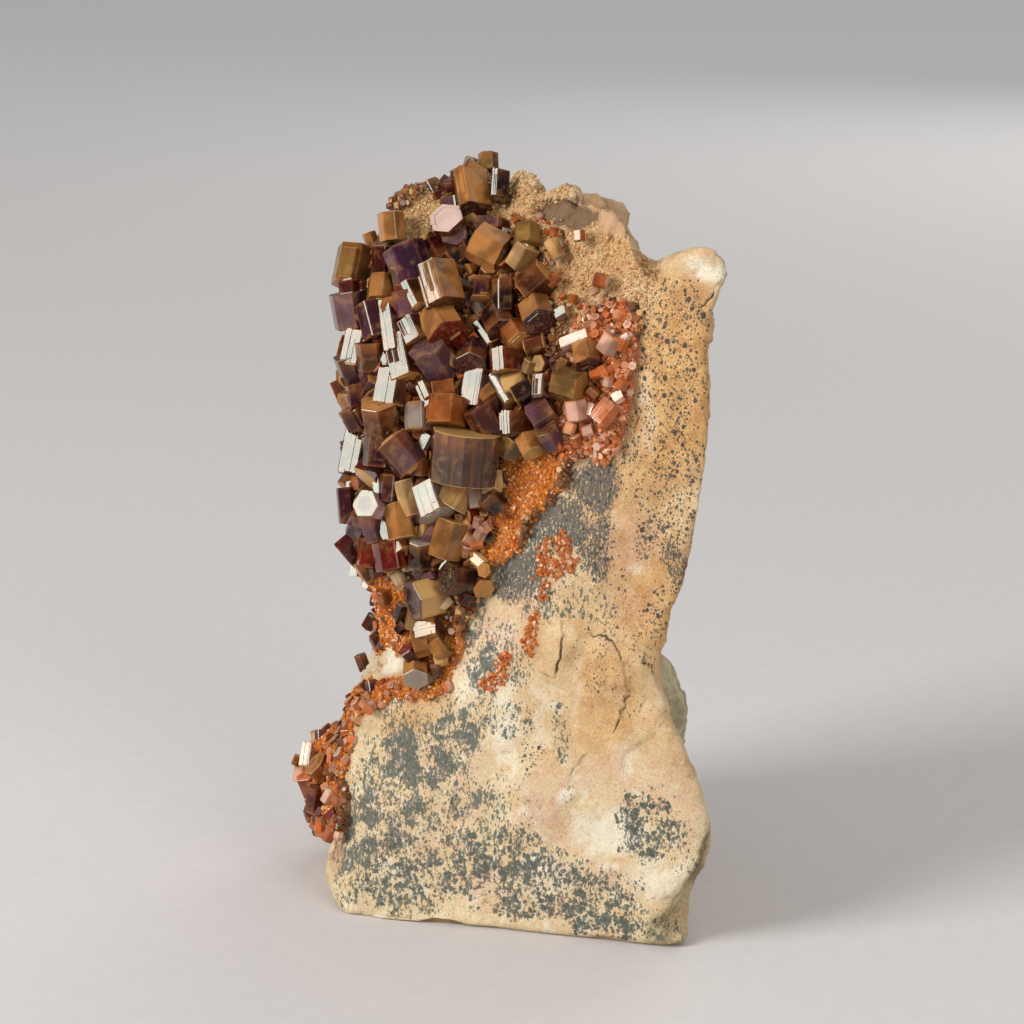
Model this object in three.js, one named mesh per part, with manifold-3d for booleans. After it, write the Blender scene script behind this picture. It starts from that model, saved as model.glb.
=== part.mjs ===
// A vanadinite specimen: a broken block of pale stone with a crust of stout hexagonal crystals.
// Millimetres, +Z up. The show side looks along -Y, and the stone stands on Z = 0.
import * as THREE from "three";
import { mergeVertices } from "three/addons/utils/BufferGeometryUtils.js";
import Module from "manifold-3d";

const wasm = await Module();
wasm.setup();

const CLEARANCE = 0.3; // between the crystals and the stone that carries them

// ---- the stone's driving dimensions -------------------------------------------------------

// Upright lines over the stone's surface, set out anticlockwise seen from above. Each holds
// [height, x, y] from the foot to the rim of the top.
const RAILS = {
  frontRight: [
    [0, 16, -19.5], [6, 19.5, -20.5], [12, 22.5, -20.5], [17, 24, -19.5], [24, 22.3, -18.5],
    [31, 19.3, -17.5], [36, 17.4, -16.5], [43, 18.2, -16], [53, 21, -15.5], [63, 22.7, -15],
    [73, 23.1, -14.5], [80, 24.4, -13.5], [84.6, 24, -12.5],
  ],
  rightFront: [
    [0, 21.2, -20], [8, 22.4, -17.5], [17, 23.6, -15], [26, 20.3, -12], [36, 16, -10],
    [50, 18.5, -9], [62, 20.4, -8.5], [74, 21.5, -9], [82.5, 23, -8.5],
  ],
  rightFlank: [
    [0, 20, -4], [12, 22, 2], [26, 18.5, 3], [36, 14.5, 2], [50, 16, 4], [64, 17.5, 5],
    [78, 19.5, 6],
  ],
  backRight: [
    [0, 19, 16], [8, 22.5, 19], [14, 24, 21], [21, 22.4, 22], [27, 19, 21], [36, 15, 20],
    [50, 15.5, 22], [65, 17.5, 26], [77, 18, 28], [83.5, 15.3, 29],
  ],
  back: [[0, 1, 25], [12, 3, 29.5], [30, 2, 28.5], [50, 1, 30], [70, 3, 32], [88, 4, 25.5]],
  backLeft: [
    [0, -18, 21], [8, -21, 25], [16, -20, 26], [28, -17.5, 23.5], [50, -15, 23],
    [74, -13, 23.5], [88.5, -7, 22],
  ],
  leftFlank: [
    [0, -23, 10], [6, -25.5, 15], [12, -25.3, 15], [18, -21.5, 11], [27, -16.8, 6.5],
    [36, -16.5, 5.5], [50, -17.5, 7], [64, -18, 8.5], [76, -17.5, 11], [86.5, -12.5, 14.5],
  ],
  frontLeft: [
    [0, -22, -8.6], [3, -23.3, -8.3], [8, -22.6, -7], [14, -21.3, -5.5], [21, -20.6, -4],
    [28, -18, -3], [36, -15, -2.5], [50, -15, -1.5], [64, -15.5, 0.5], [76, -13, 4.5],
    [89.5, -5.5, 15],
  ],
  showLeft: [
    [0, -16, -10.5], [14, -15, -8.8], [28, -10.5, -8], [36, -8, -6.5], [50, -6, -5],
    [62, -4.5, -3], [76, -2.6, 2], [88.2, 0.5, 10],
  ],
  boundary: [
    [0, -7, -13], [14, -6, -12], [28, -2, -12], [36, 0, -11.5], [50, 3, -10.5], [62, 6.5, -9],
    [74, 8.5, -6.5], [85.6, 11.5, -2],
  ],
  showMid: [
    [0, 3, -16], [14, 5, -15], [28, 6, -14.3], [36, 6.5, -13.8], [50, 9.5, -13.2],
    [62, 14, -12.3], [74, 16, -11], [82.6, 17, -9],
  ],
  showRight: [
    [0, 10.5, -18], [14, 14.5, -17.8], [28, 14, -16.5], [36, 12.5, -15.5], [50, 15.5, -14.8],
    [62, 19, -14], [74, 20.3, -13], [84.8, 20.3, -11],
  ],
};
const LEVELS = 23; // steps of height from the foot to the rim
const STEPS_BETWEEN_RAILS = 3;
const AROUND = STEPS_BETWEEN_RAILS * Object.keys(RAILS).length;
const BASIN = new THREE.Vector3(9, 11, 81); // the low point of the top
const CAP_RINGS = 4;
const FOOT_RINGS = [0.5, 0.93]; // shares of the foot's outline that lie flat on the table
const FOOT_LIFT = 1; // how far the foot's outer edge is worn up off the table

// Roughness of the stone as [wavelength, height]. The smooth front face takes a share of it, and
// the broken sides and back take it all.
const ROUGH = [[17, 1.6], [8, 1]];
const FRONT_SHARE = 0.25;
const BROKEN_FROM = [-4, 10]; // over these distances back, less where it is to the left

// Ledges across the broken sides: how far apart they are, how far each stands out, how much they
// wander up and down, and where they fade below the rim.
const LEDGES = { apart: 15, tall: 2.4, wander: 5, fade: [70, 80] };

// Flat breaks of the back: the way each faces, as degrees round from +X and up from level, and
// how deep it cuts.
const BREAKS = [
  [35, 12, 3.5], [48, -28, 4], [62, 30, 4], [78, -8, 2.5], [88, 52, 4], [104, 22, 3.5],
  [118, -18, 3], [128, 28, 3.5], [60, 62, 3], [95, -45, 4],
];
const BREAK_SIZE = 200; // larger than the stone

// Low relief on the show side, placed on the layout sheet: [across, up, radius, height].
const LOBES = [
  [5, 33, 4.5, 1], [13, 31, 6, 1.2], [9, 31, 2.4, -1.3], [11.5, 47, 5, 0.7], [19, 52, 4, -0.7],
  [20, 68, 4, 0.6], [-13, 12, 6, 0.7], [3, 14, 6, 0.6], [21.5, 30, 4, -0.7],
];

// ---- the crystals' driving dimensions -----------------------------------------------------

// The layout sheet is a flat sheet through SHEET_MIDDLE, square to the line from EYE. A place on
// it is [across, up] in millimetres, up from the sheet's foot, and it is carried along the line
// from EYE until it meets the stone.
const SHEET_MIDDLE = new THREE.Vector3(0, 0, 50);
const EYE_PITCH = THREE.MathUtils.degToRad(14);
const EYE_DISTANCE = 325;
const RIGHT = new THREE.Vector3(1, 0, 0);
const UP = new THREE.Vector3(0, Math.sin(EYE_PITCH), Math.cos(EYE_PITCH));
const TOWARD_EYE = new THREE.Vector3(0, -Math.cos(EYE_PITCH), Math.sin(EYE_PITCH));
const EYE = SHEET_MIDDLE.clone().addScaledVector(TOWARD_EYE, EYE_DISTANCE);

// Crystal faces turned this way share one gleam, as they do on a real specimen.
const GLEAM = new THREE.Vector3(-0.46, -0.79, 0.4).normalize();

// The crust's edge: where it shows, on the layout sheet, then over the hidden left side as
// [rail number, height]. Rail numbers follow the order of RAILS.
const SHOWN_EDGE = [
  [-0.4, 89.6], [-0.3, 88.8], [-2.4, 86.8], [0.5, 86], [4.5, 85.2], [6.5, 82.5], [5.8, 79.5],
  [5.2, 77], [7, 75.8], [11, 76.4], [15.6, 74.6], [15.4, 70], [14.8, 64], [13.4, 60],
  [13.2, 55], [11, 54.6], [10, 57.6], [7.2, 57.2], [5.9, 53], [2.4, 49.4], [0.4, 45.2],
  [-2.8, 42.4], [-5, 39], [-6.8, 35], [-7.8, 30], [-10.5, 28], [-15, 27], [-18.6, 26.5],
  [-19.8, 22], [-20.9, 16], [-21, 9],
];
const HIDDEN_EDGE = [
  [6.8, 5], [6.1, 4.5], [5.9, 12], [6, 22], [6.4, 26], [6.1, 32], [5.7, 45], [5.5, 60],
  [5.3, 75], [5.3, 86], [5.8, 90.5], [7.2, 91], [8, 89.5],
];
const RAIL_SPACING = 10; // about how far apart two rails are on the crust's side
const CRUST_THIN = 1.3; // on the front
const CRUST_THICK = 2.7; // round the left side, where crystals have piled up
const THICKENS = [5, 13]; // from this far left of the middle to this far
const THICKENS_FROM = [22, 32]; // and up from between these heights
const CRUST_BURIED = -1.5; // where the skin lies outside its edge, under the stone's surface
const EDGE_WIDTH = 3; // over which the crust thins out

// Crystals: [across, up, width over corners, length, lean, tilt, turn]. Lean is the axis's angle
// on the sheet, anticlockwise from RIGHT, and tilt lifts it towards EYE, both in degrees. Turn
// rolls the prism about its axis from where a side face is nearest the gleam. SIDE as the tilt
// tips the axis until that face is square to the gleam, and END sets the end face square to it.
const SIDE = "side";
const END = "end";
const CRYSTALS = [
  // the peak
  [-3, 93.8, 2.2, 1.9, 90, -10, 10], [-5.6, 92.9, 2.4, 2.6, 150, 10, 20],
  [-8.2, 90.9, 2.2, 2.1, 110, 30, 10], [-4.8, 89.9, 4.4, 4.5, -82, 28, 0],
  [-1.5, 90.7, 2.2, 3, 88, SIDE, 0], [-7.8, 85.9, 4.3, 3.8, 0, END, 10],
  [-6.7, 84, 3.1, 2.3, 120, 55, 10],
  // the upper left
  [-15.3, 86, 2.8, 3, 95, 0, 20], [-20.3, 80.7, 4.2, 4.3, 80, -15, 15],
  [-16.2, 81.2, 2.4, 3.3, 90, 0, 15], [-12.6, 81, 5, 3.8, 170, 50, 12],
  [-2.8, 83, 4.2, 3.5, -28, 10, 10], [1.9, 84.4, 2.8, 2.3, 95, -25, 0],
  [1.4, 81.9, 2.9, 2.6, 60, 20, 0], [-3.4, 77.6, 2.9, 2.4, 80, -20, 10],
  [-0.9, 77, 2.8, 3.3, 90, -5, 30], [-1.6, 73.8, 3.5, 3.1, -70, 40, 10],
  [3, 78.6, 4, 3.1, 40, 15, 0], [3.2, 74.6, 3.7, 3, -75, 50, 5],
  [0.9, 71.7, 3.9, 2.8, -60, 45, 0], [-16.2, 77.5, 3.5, 2.8, 85, -25, 10],
  [-20, 75.3, 4.2, 3.8, 100, 10, 10], [-20.4, 77.8, 3.3, 2.3, 95, 0, 0],
  [-17.3, 73.8, 2.9, 4, -75, 15, 25], [-15.3, 73.2, 2.2, 5.6, -80, SIDE, 0],
  [-12, 77, 2.4, 3.1, -65, SIDE, 0], [-8.6, 77.9, 4.4, 4.9, -72, SIDE, 0],
  [-8.8, 73.2, 4.4, 4, -60, 45, 10], [-12.3, 72.6, 2.9, 2.8, -65, SIDE, 0],
  // the middle left
  [-19.6, 70.3, 2.8, 3.7, 80, SIDE, 0], [-21.3, 68, 4, 3.7, 110, 20, 10],
  [-17.5, 69.4, 3.3, 3, 95, 10, 20], [-14.2, 70.2, 2.6, 3.8, -75, SIDE, 0],
  [-13.5, 67.6, 2.6, 2.6, -70, SIDE, 0], [-9.7, 68.8, 4.2, 4, 120, 35, 10],
  [-7.8, 68.7, 2.6, 2.3, 55, 10, 0], [-4.8, 69.3, 3.7, 3.1, -100, 50, 5],
  [-0.5, 68.6, 4.2, 2.4, 92, SIDE, 0], [-15.1, 65.5, 3.7, 3.7, 80, SIDE, 0],
  [-10.7, 64.9, 2.4, 3.7, -65, SIDE, 0], [-8.5, 65.1, 2.8, 2.3, 10, 0, 0],
  [-4.8, 65.7, 3.3, 3.3, -95, SIDE, 0], [0.4, 66, 2.8, 2.3, 20, 10, 0],
  [1.7, 65, 2.8, 2.3, 30, 10, 10], [4.1, 65.3, 2.9, 2.3, 90, SIDE, 0],
  [3.8, 62.4, 3.3, 2.6, 40, 15, 10], [-18.9, 64.2, 2.9, 3, 100, 0, 10],
  [-19.6, 61.8, 2.8, 2.4, 120, 10, 0], [-16.2, 61.9, 4, 3.3, 100, 30, 0],
  [-11.8, 61.9, 2.8, 2.8, 95, -15, 0], [-8.2, 62.4, 4.4, 3, 90, -10, 0],
  [-3, 61.4, 4, 3.7, 120, 10, 20], [-19.1, 57.8, 3.9, 5.4, 80, SIDE, 0],
  [-16.5, 58, 3.5, 4, 85, 0, 20], [-13.7, 57.3, 3.9, 3.8, 130, 0, 0],
  [-5.8, 57, 9, 5.4, 85, 12, 8],
  // the red grains of the middle right, and the larger crystals among them
  [7.3, 65.7, 3.7, 3, -20, 30, 0], [9.2, 69.5, 2.8, 2.6, -80, 35, 0],
  [8, 62.8, 2.4, 2.1, 100, 10, 0], [11.7, 62.4, 2.4, 2.3, 55, SIDE, 0],
  [4.6, 59.4, 2.8, 2.3, 120, 30, 0], [0.6, 60.9, 3.3, 2.4, 90, SIDE, 0],
  // the lower left
  [-18.4, 51.7, 4, 3.7, -85, 50, 0], [-14, 48.8, 3.1, 3.7, -78, 10, 10],
  [-9.8, 51.3, 2.9, 2.6, -70, SIDE, 0], [-7.1, 52.1, 3.7, 2.4, 60, 0, 10],
  [-21.2, 50.9, 2.8, 3.8, 95, 0, 10], [-15.2, 47.4, 2.4, 4.9, -62, SIDE, 0],
  [-17.3, 48.2, 2.8, 3, 110, 10, 0], [-15.2, 44.6, 3.5, 3, 100, 0, 20],
  [-17.6, 44.9, 2.9, 2.8, 80, 0, 0], [-19.4, 43.3, 1.8, 2.8, 80, SIDE, 0],
  [-11.3, 45, 2.9, 3, 90, 30, 0], [-7.4, 46.8, 4.6, 4.5, 75, 10, 5],
  [-4.4, 47.2, 4, 3.7, 55, 10, 20], [-6.7, 41.6, 3.7, 3, 170, 35, 0],
  [-10.8, 39.4, 4.6, 3, 15, -25, 0], [-10.3, 35.5, 3.1, 2.6, 15, SIDE, 0],
  [-12.4, 32.2, 2.4, 2.1, 130, 20, 0], [-11.2, 33.6, 2.8, 1.6, 20, 10, 0],
  [-12.1, 30, 2.9, 2.4, -90, 55, 0], [-19.8, 31.4, 2.2, 2.1, 110, 10, 0],
  // the spur low on the left
  [-25.4, 19.7, 2.2, 2.6, 85, SIDE, 0], [-26.2, 17.6, 2.2, 2.4, 80, 20, 0],
  [-25.2, 16, 2.8, 2.4, 110, 20, 0], [-23.4, 17.8, 3.3, 2.8, 140, 20, 0],
  [-22.6, 9.8, 2.4, 2.3, 60, 20, 0],
];
const STAND_PROUD = 0.22; // share of its width that a crystal's middle stands proud of the crust
const REACH = 0.42; // share of its width that keeps a crystal past the outline on the crust

// Crystals on the hidden left side, in rows up the stone between these rails and heights.
const FILL_BEDS = [
  { rails: [5.5, 7.2], heights: [28, 88], spacing: 5.6, widths: [3.4, 5.2] },
  { rails: [6.1, 6.9], heights: [8, 25], spacing: 5, widths: [2.4, 3.2] },
];
const FILL_ROOM = 3.2; // the least distance from a shown crystal's middle

// The bed of small red crystals, as an outline on the layout sheet.
const RED_BED = [
  [7, 75.6], [11, 76.2], [15, 74], [15, 68], [14.2, 63], [12.8, 59.5], [12.6, 55.5], [11.2, 55.5],
  [10, 58.5], [6.5, 58.5], [5.5, 61], [6.5, 70],
];
const RED_GRAINS = { spacing: 3.7, width: [2, 2.8] };

// Patches of small crystals away from the crust: a name and each crystal's place and width.
const PATCHES = {
  druse_patch_upper: [[4.2, 45.6, 1.8], [5.4, 43.6, 2], [6.4, 45.4, 1.8], [4.6, 42, 1.4]],
  druse_patch_middle: [[2.3, 34.4, 1.5], [2.5, 32.8, 1.6], [2.2, 36.2, 1.2]],
  druse_patch_lower: [[-1.4, 30.8, 1.6], [-2, 29.2, 1.9], [-3.2, 28.2, 1.7]],
};
const PATCH_BED = 0.75; // how thick a patch's bed is

// ---- small shared helpers -----------------------------------------------------------------

const share = (v, low, high) => THREE.MathUtils.smoothstep(v, low, high);

// A repeatable random share from 0 to 1 for a whole number.
function chance(n) {
  const wild = Math.sin(n * 127.1 + 11.7) * 43758.5453;
  return wild - Math.floor(wild);
}

// A direction tipped by a repeatable random amount.
function strayed(direction, amount, seed) {
  const stray = [0, 1, 2].map((k) => 2 * chance(seed + 0.37 * k) - 1);
  return direction.clone().addScaledVector(new THREE.Vector3(...stray), amount).normalize();
}

// A smooth random field from -1 to 1 with one value to each cell of the given size.
function field(p, cell, seed) {
  const at = [p.x / cell + seed, p.y / cell - seed, p.z / cell + 2 * seed];
  const low = at.map(Math.floor);
  const between = at.map((v, i) => {
    const t = v - low[i];
    return t * t * (3 - 2 * t);
  });
  let sum = 0;
  for (let corner = 0; corner < 8; corner++) {
    const step = [corner & 1, (corner >> 1) & 1, corner >> 2];
    const weight = step.reduce((w, s, i) => w * (s ? between[i] : 1 - between[i]), 1);
    const [i, j, k] = step.map((s, axis) => low[axis] + s);
    sum += weight * (2 * chance(i + 2.4537 * j + 0.5878 * k) - 1);
  }
  return sum;
}

function toManifold(geometry) {
  const bare = geometry.clone();
  bare.deleteAttribute("normal");
  bare.deleteAttribute("uv");
  const merged = mergeVertices(bare, 1e-5);
  const vertProperties = new Float32Array(merged.attributes.position.array);
  const triVerts = new Uint32Array(merged.index.array);
  return new wasm.Manifold(new wasm.Mesh({ numProp: 3, vertProperties, triVerts }));
}

function toGeometry(manifold) {
  const mesh = manifold.getMesh();
  const geometry = new THREE.BufferGeometry();
  geometry.setAttribute("position", new THREE.BufferAttribute(mesh.vertProperties, 3));
  geometry.setIndex(new THREE.BufferAttribute(mesh.triVerts, 1));
  return geometry;
}

const joined = (solids) => solids.reduce((all, solid) => all.add(solid));

// A closed outline of flat points.
class Outline {
  constructor(points) {
    this.points = points;
  }

  corners() {
    const box = new THREE.Box2().setFromPoints(this.points);
    return [box.min, box.max];
  }

  // How far inside a place lies, and less than nothing outside.
  inside(place) {
    let nearest = Infinity;
    let within = false;
    this.points.forEach((a, i) => {
      const b = this.points[(i + 1) % this.points.length];
      const run = b.clone().sub(a);
      const along = THREE.MathUtils.clamp(place.clone().sub(a).dot(run) / run.lengthSq(), 0, 1);
      nearest = Math.min(nearest, a.clone().addScaledVector(run, along).distanceTo(place));
      const crosses = a.y > place.y !== b.y > place.y;
      if (crosses && place.x < a.x + (run.x * (place.y - a.y)) / run.y) within = !within;
    });
    return within ? nearest : -nearest;
  }
}

// The largest connected body of a solid, without the slivers that a cut can leave beside it.
function mainBody(solid) {
  return solid.decompose().reduce((a, b) => (a.volume() > b.volume() ? a : b));
}

// ---- the stone ----------------------------------------------------------------------------

// A rail's point at a share of its height.
function railPoint(rail, part) {
  const z = part * rail.at(-1)[0];
  let i = 1;
  while (i < rail.length - 1 && rail[i][0] < z) i++;
  const [a, b] = [rail[i - 1], rail[i]];
  const t = (z - a[0]) / (b[0] - a[0]);
  return new THREE.Vector3(a[1] + t * (b[1] - a[1]), a[2] + t * (b[2] - a[2]), z);
}

function ringAt(part) {
  const corners = Object.values(RAILS).map((rail) => railPoint(rail, part));
  const curve = new THREE.CatmullRomCurve3(corners, true, "centripetal");
  return Array.from({ length: AROUND }, (_, j) => curve.getPoint(j / AROUND));
}

// The stone's surface as rings of points from the foot's middle to the basin on top.
function stoneRings() {
  const foot = ringAt(0);
  const middle = new THREE.Vector3();
  foot.forEach((p) => middle.addScaledVector(p, 1 / AROUND));
  const rings = [[middle]];
  for (const part of FOOT_RINGS) rings.push(foot.map((p) => middle.clone().lerp(p, part)));
  for (let k = 0; k <= LEVELS; k++) rings.push(ringAt(k / LEVELS));
  rings[FOOT_RINGS.length + 1].forEach((p) => {
    p.z += FOOT_LIFT * (0.6 + 0.4 * field(p, 7, 3));
  });
  const rim = rings.at(-1);
  for (let c = 1; c < CAP_RINGS; c++)
    rings.push(rim.map((p) => p.clone().lerp(BASIN, c / CAP_RINGS)));
  rings.push([BASIN.clone()]);
  return rings;
}

// Each point's place on the stone's unrolled surface: its rail number and its height, which
// runs on past the rim with the distance over the top.
function unrolled(rings) {
  const rimRing = FOOT_RINGS.length + 1 + LEVELS;
  return rings.flatMap((ring, r) => ring.map((p, j) => {
    const railNumber = j / STEPS_BETWEEN_RAILS;
    if (r <= rimRing) return [railNumber, p.z];
    const rim = rings[rimRing][j];
    return [railNumber, rim.z + rim.distanceTo(p)];
  }));
}

// The stone's surface at a rail number and a height, and the direction out of it there.
function onStone(railNumber, height) {
  const turn = railNumber / Object.keys(RAILS).length;
  const curveAt = (part) => new THREE.CatmullRomCurve3(
    Object.values(RAILS).map((rail) => railPoint(rail, part)), true, "centripetal");
  const rimHeight = curveAt(1).getPoint(turn).z;
  const curve = curveAt(height / rimHeight);
  const outward = curve.getTangent(turn).cross(new THREE.Vector3(0, 0, 1)).normalize();
  return { point: curve.getPoint(turn), outward };
}

// Joins rings of points, whose first and last are single points, into a closed surface.
function skinOf(rings) {
  const starts = [0];
  rings.forEach((ring, r) => starts.push(starts[r] + ring.length));
  const faces = [];
  for (let r = 1; r < rings.length; r++)
    for (let j = 0; j < AROUND; j++) {
      const [lower, upper] = [rings[r - 1].length, rings[r].length];
      const a = starts[r - 1] + (j % lower);
      const b = starts[r - 1] + ((j + 1) % lower);
      const c = starts[r] + ((j + 1) % upper);
      const d = starts[r] + (j % upper);
      if (a !== b) faces.push(a, b, c);
      if (c !== d) faces.push(a, c, d);
    }
  const geometry = new THREE.BufferGeometry().setFromPoints(rings.flat());
  geometry.setIndex(faces);
  geometry.setAttribute("uv", new THREE.Float32BufferAttribute(unrolled(rings).flat(), 2));
  geometry.computeVertexNormals();
  return geometry;
}

const PLAIN_STONE = skinOf(stoneRings());

// Where the line from EYE through a place on the layout sheet meets a surface. Past the
// surface's outline it is the line's nearest point to one of its corners.
function castFromSheet([across, up], surface) {
  const place = SHEET_MIDDLE.clone()
    .addScaledVector(RIGHT, across)
    .addScaledVector(UP, up - SHEET_MIDDLE.z);
  const ray = new THREE.Ray(EYE, place.sub(EYE).normalize());
  const target = new THREE.Mesh(surface, new THREE.MeshBasicMaterial());
  const [hit] = new THREE.Raycaster(ray.origin, ray.direction).intersectObject(target);
  if (hit) return { point: hit.point, unrolled: hit.uv };
  const { position } = surface.attributes;
  let nearest = { distance: Infinity };
  for (let i = 0; i < position.count; i++) {
    const corner = new THREE.Vector3().fromBufferAttribute(position, i);
    const point = ray.closestPointToPoint(corner, new THREE.Vector3());
    const distance = point.distanceTo(corner);
    if (distance < nearest.distance) nearest = { distance, point, corner };
  }
  return nearest;
}

const LOBE_CENTRES = LOBES.map((lobe) => castFromSheet(lobe, PLAIN_STONE).point);

// How far the real surface stands off the plain one.
function relief(p) {
  const broken = share(p.y + 0.5 * p.x, ...BROKEN_FROM);
  const rough = THREE.MathUtils.lerp(FRONT_SHARE, 1, broken);
  const rise = (p.z + LEDGES.wander * field(p, 20, 9)) / LEDGES.apart;
  const ledge = (rise - Math.floor(rise) - 0.5) * (1 - share(p.z, ...LEDGES.fade));
  let height = broken * LEDGES.tall * ledge;
  ROUGH.forEach(([cell, tall], i) => {
    height += rough * tall * field(p, cell, 5 + i);
  });
  LOBES.forEach(([, , radius, tall], i) => {
    height += tall * (1 - share(p.distanceTo(LOBE_CENTRES[i]), 0.4 * radius, radius));
  });
  return height * share(p.z, 1.5, 7);
}

// The stone's surface, grown by a distance that may depend on the unrolled place and the point.
function stoneGrown(distanceAt) {
  const geometry = PLAIN_STONE.clone();
  const { position, normal, uv } = geometry.attributes;
  for (let i = 0; i < position.count; i++) {
    const p = new THREE.Vector3().fromBufferAttribute(position, i);
    const outward = new THREE.Vector3().fromBufferAttribute(normal, i);
    const unrolledPlace = new THREE.Vector2().fromBufferAttribute(uv, i);
    const grown = relief(p) + distanceAt(unrolledPlace, p);
    position.setXYZ(i, ...p.addScaledVector(outward, grown));
  }
  return geometry;
}

// The stone's solid with its flat breaks cut.
function withBreaks(geometry) {
  const { position } = geometry.attributes;
  const corner = (i) => new THREE.Vector3().fromBufferAttribute(position, i);
  const corners = Array.from({ length: position.count }, (_, i) => corner(i));
  return BREAKS.reduce((stone, [round, rise, depth]) => {
    const [azimuth, elevation] = [round, rise].map(THREE.MathUtils.degToRad);
    const facing = new THREE.Vector3(
      Math.cos(azimuth) * Math.cos(elevation),
      Math.sin(azimuth) * Math.cos(elevation),
      Math.sin(elevation));
    const reach = Math.max(...corners.map((p) => p.dot(facing)));
    const waste = new THREE.BoxGeometry(BREAK_SIZE, BREAK_SIZE, BREAK_SIZE);
    waste.translate(0, 0, BREAK_SIZE / 2 + reach - depth);
    const turn = new THREE.Quaternion().setFromUnitVectors(new THREE.Vector3(0, 0, 1), facing);
    return stone.subtract(toManifold(waste.applyQuaternion(turn)));
  }, toManifold(geometry));
}

// ---- the crystals -------------------------------------------------------------------------

function prism(width, length) {
  const corner = (i) => {
    const angle = (i * Math.PI) / 3 + Math.PI / 6;
    return new THREE.Vector2(Math.cos(angle), Math.sin(angle)).multiplyScalar(width / 2);
  };
  const outline = new THREE.Shape(Array.from({ length: 6 }, (_, i) => corner(i)));
  const geometry = new THREE.ExtrudeGeometry(outline, { depth: length, bevelEnabled: false });
  return geometry.translate(0, 0, -length / 2);
}

// A prism set at a point, with its axis given and one side face turned towards the gleam.
function standingPrism({ centre, axis, width, length, turn }) {
  const facing = GLEAM.clone().projectOnPlane(axis);
  if (facing.length() < 0.05) facing.copy(UP).projectOnPlane(axis);
  facing.normalize().applyAxisAngle(axis, THREE.MathUtils.degToRad(turn));
  const across = new THREE.Vector3().crossVectors(axis, facing);
  const place = new THREE.Matrix4().makeBasis(facing, across, axis).setPosition(centre);
  return toManifold(prism(width, length).applyMatrix4(place));
}

function crystalAxis(lean, tilt) {
  if (tilt === END) return GLEAM.clone();
  const onSheet = RIGHT.clone()
    .multiplyScalar(Math.cos(THREE.MathUtils.degToRad(lean)))
    .addScaledVector(UP, Math.sin(THREE.MathUtils.degToRad(lean)));
  if (tilt === SIDE) {
    const tip = -onSheet.dot(GLEAM) / TOWARD_EYE.dot(GLEAM);
    return onSheet.addScaledVector(TOWARD_EYE, tip).normalize();
  }
  return onSheet
    .multiplyScalar(Math.cos(THREE.MathUtils.degToRad(tilt)))
    .addScaledVector(TOWARD_EYE, Math.sin(THREE.MathUtils.degToRad(tilt)));
}

const crustThickness = (p) => THREE.MathUtils.lerp(
  CRUST_THIN, CRUST_THICK, share(-p.x, ...THICKENS) * share(p.z, ...THICKENS_FROM));

// The surface that the crystals stand on.
const CRUST_GROUND = stoneGrown((_, p) => crustThickness(p));

// A point on the crust for a place on the layout sheet, a little proud of it.
function onCrust(place, width) {
  const { point, corner } = castFromSheet(place, CRUST_GROUND);
  if (!corner) return point.addScaledVector(TOWARD_EYE, STAND_PROUD * width);
  return point.sub(corner).clampLength(0, REACH * width).add(corner);
}

function shownCrystals() {
  return CRYSTALS.map(([across, up, width, length, lean, tilt, turn]) => ({
    centre: onCrust([across, up], width), axis: crystalAxis(lean, tilt), width, length, turn,
  }));
}

// Small crystals over the red part of the crust, one to each cell of a grid on the sheet.
function redGrains() {
  const grains = [];
  const bed = new Outline(RED_BED.map(([across, up]) => new THREE.Vector2(across, up)));
  const { spacing, width } = RED_GRAINS;
  const [low, high] = bed.corners();
  for (let up = low.y; up < high.y; up += spacing)
    for (let across = low.x; across < high.x; across += spacing) {
      const seed = Math.round(41 * up + 7 * across);
      const place = new THREE.Vector2(
        across + spacing * chance(seed), up + spacing * chance(seed + 1));
      if (bed.inside(place) < 0) continue;
      const size = THREE.MathUtils.lerp(...width, chance(seed + 2));
      grains.push({
        centre: onCrust(place.toArray(), size),
        axis: strayed(TOWARD_EYE, 1, seed + 3),
        width: size,
        length: size,
        turn: 0,
      });
    }
  return grains;
}

const onEdgeScale = (place) => new THREE.Vector2(place.x * RAIL_SPACING, place.y);

// Crystals over a bed on the hidden left side, where the shown ones leave room.
function fillCrystals({ rails, heights, spacing, widths }, shown, edge) {
  const crystals = [];
  const railStep = spacing / RAIL_SPACING;
  for (let height = heights[0]; height < heights[1]; height += spacing)
    for (let rail = rails[0]; rail < rails[1]; rail += railStep) {
      const seed = Math.round(13 * height + 97 * rail);
      const across = rail + 0.5 * chance(seed) * railStep;
      const up = height + 0.7 * chance(seed + 1) * spacing;
      if (edge.inside(onEdgeScale({ x: across, y: up })) < 1) continue;
      const { point, outward } = onStone(across, up);
      const width = THREE.MathUtils.lerp(...widths, chance(seed + 2));
      const centre = point.addScaledVector(outward, crustThickness(point) + STAND_PROUD * width);
      if (shown.some((other) => other.centre.distanceTo(centre) < FILL_ROOM)) continue;
      const axis = strayed(outward, 0.7, seed + 3);
      crystals.push({ centre, axis, width, length: 0.85 * width, turn: 60 * chance(seed + 6) });
    }
  return crystals;
}

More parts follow.
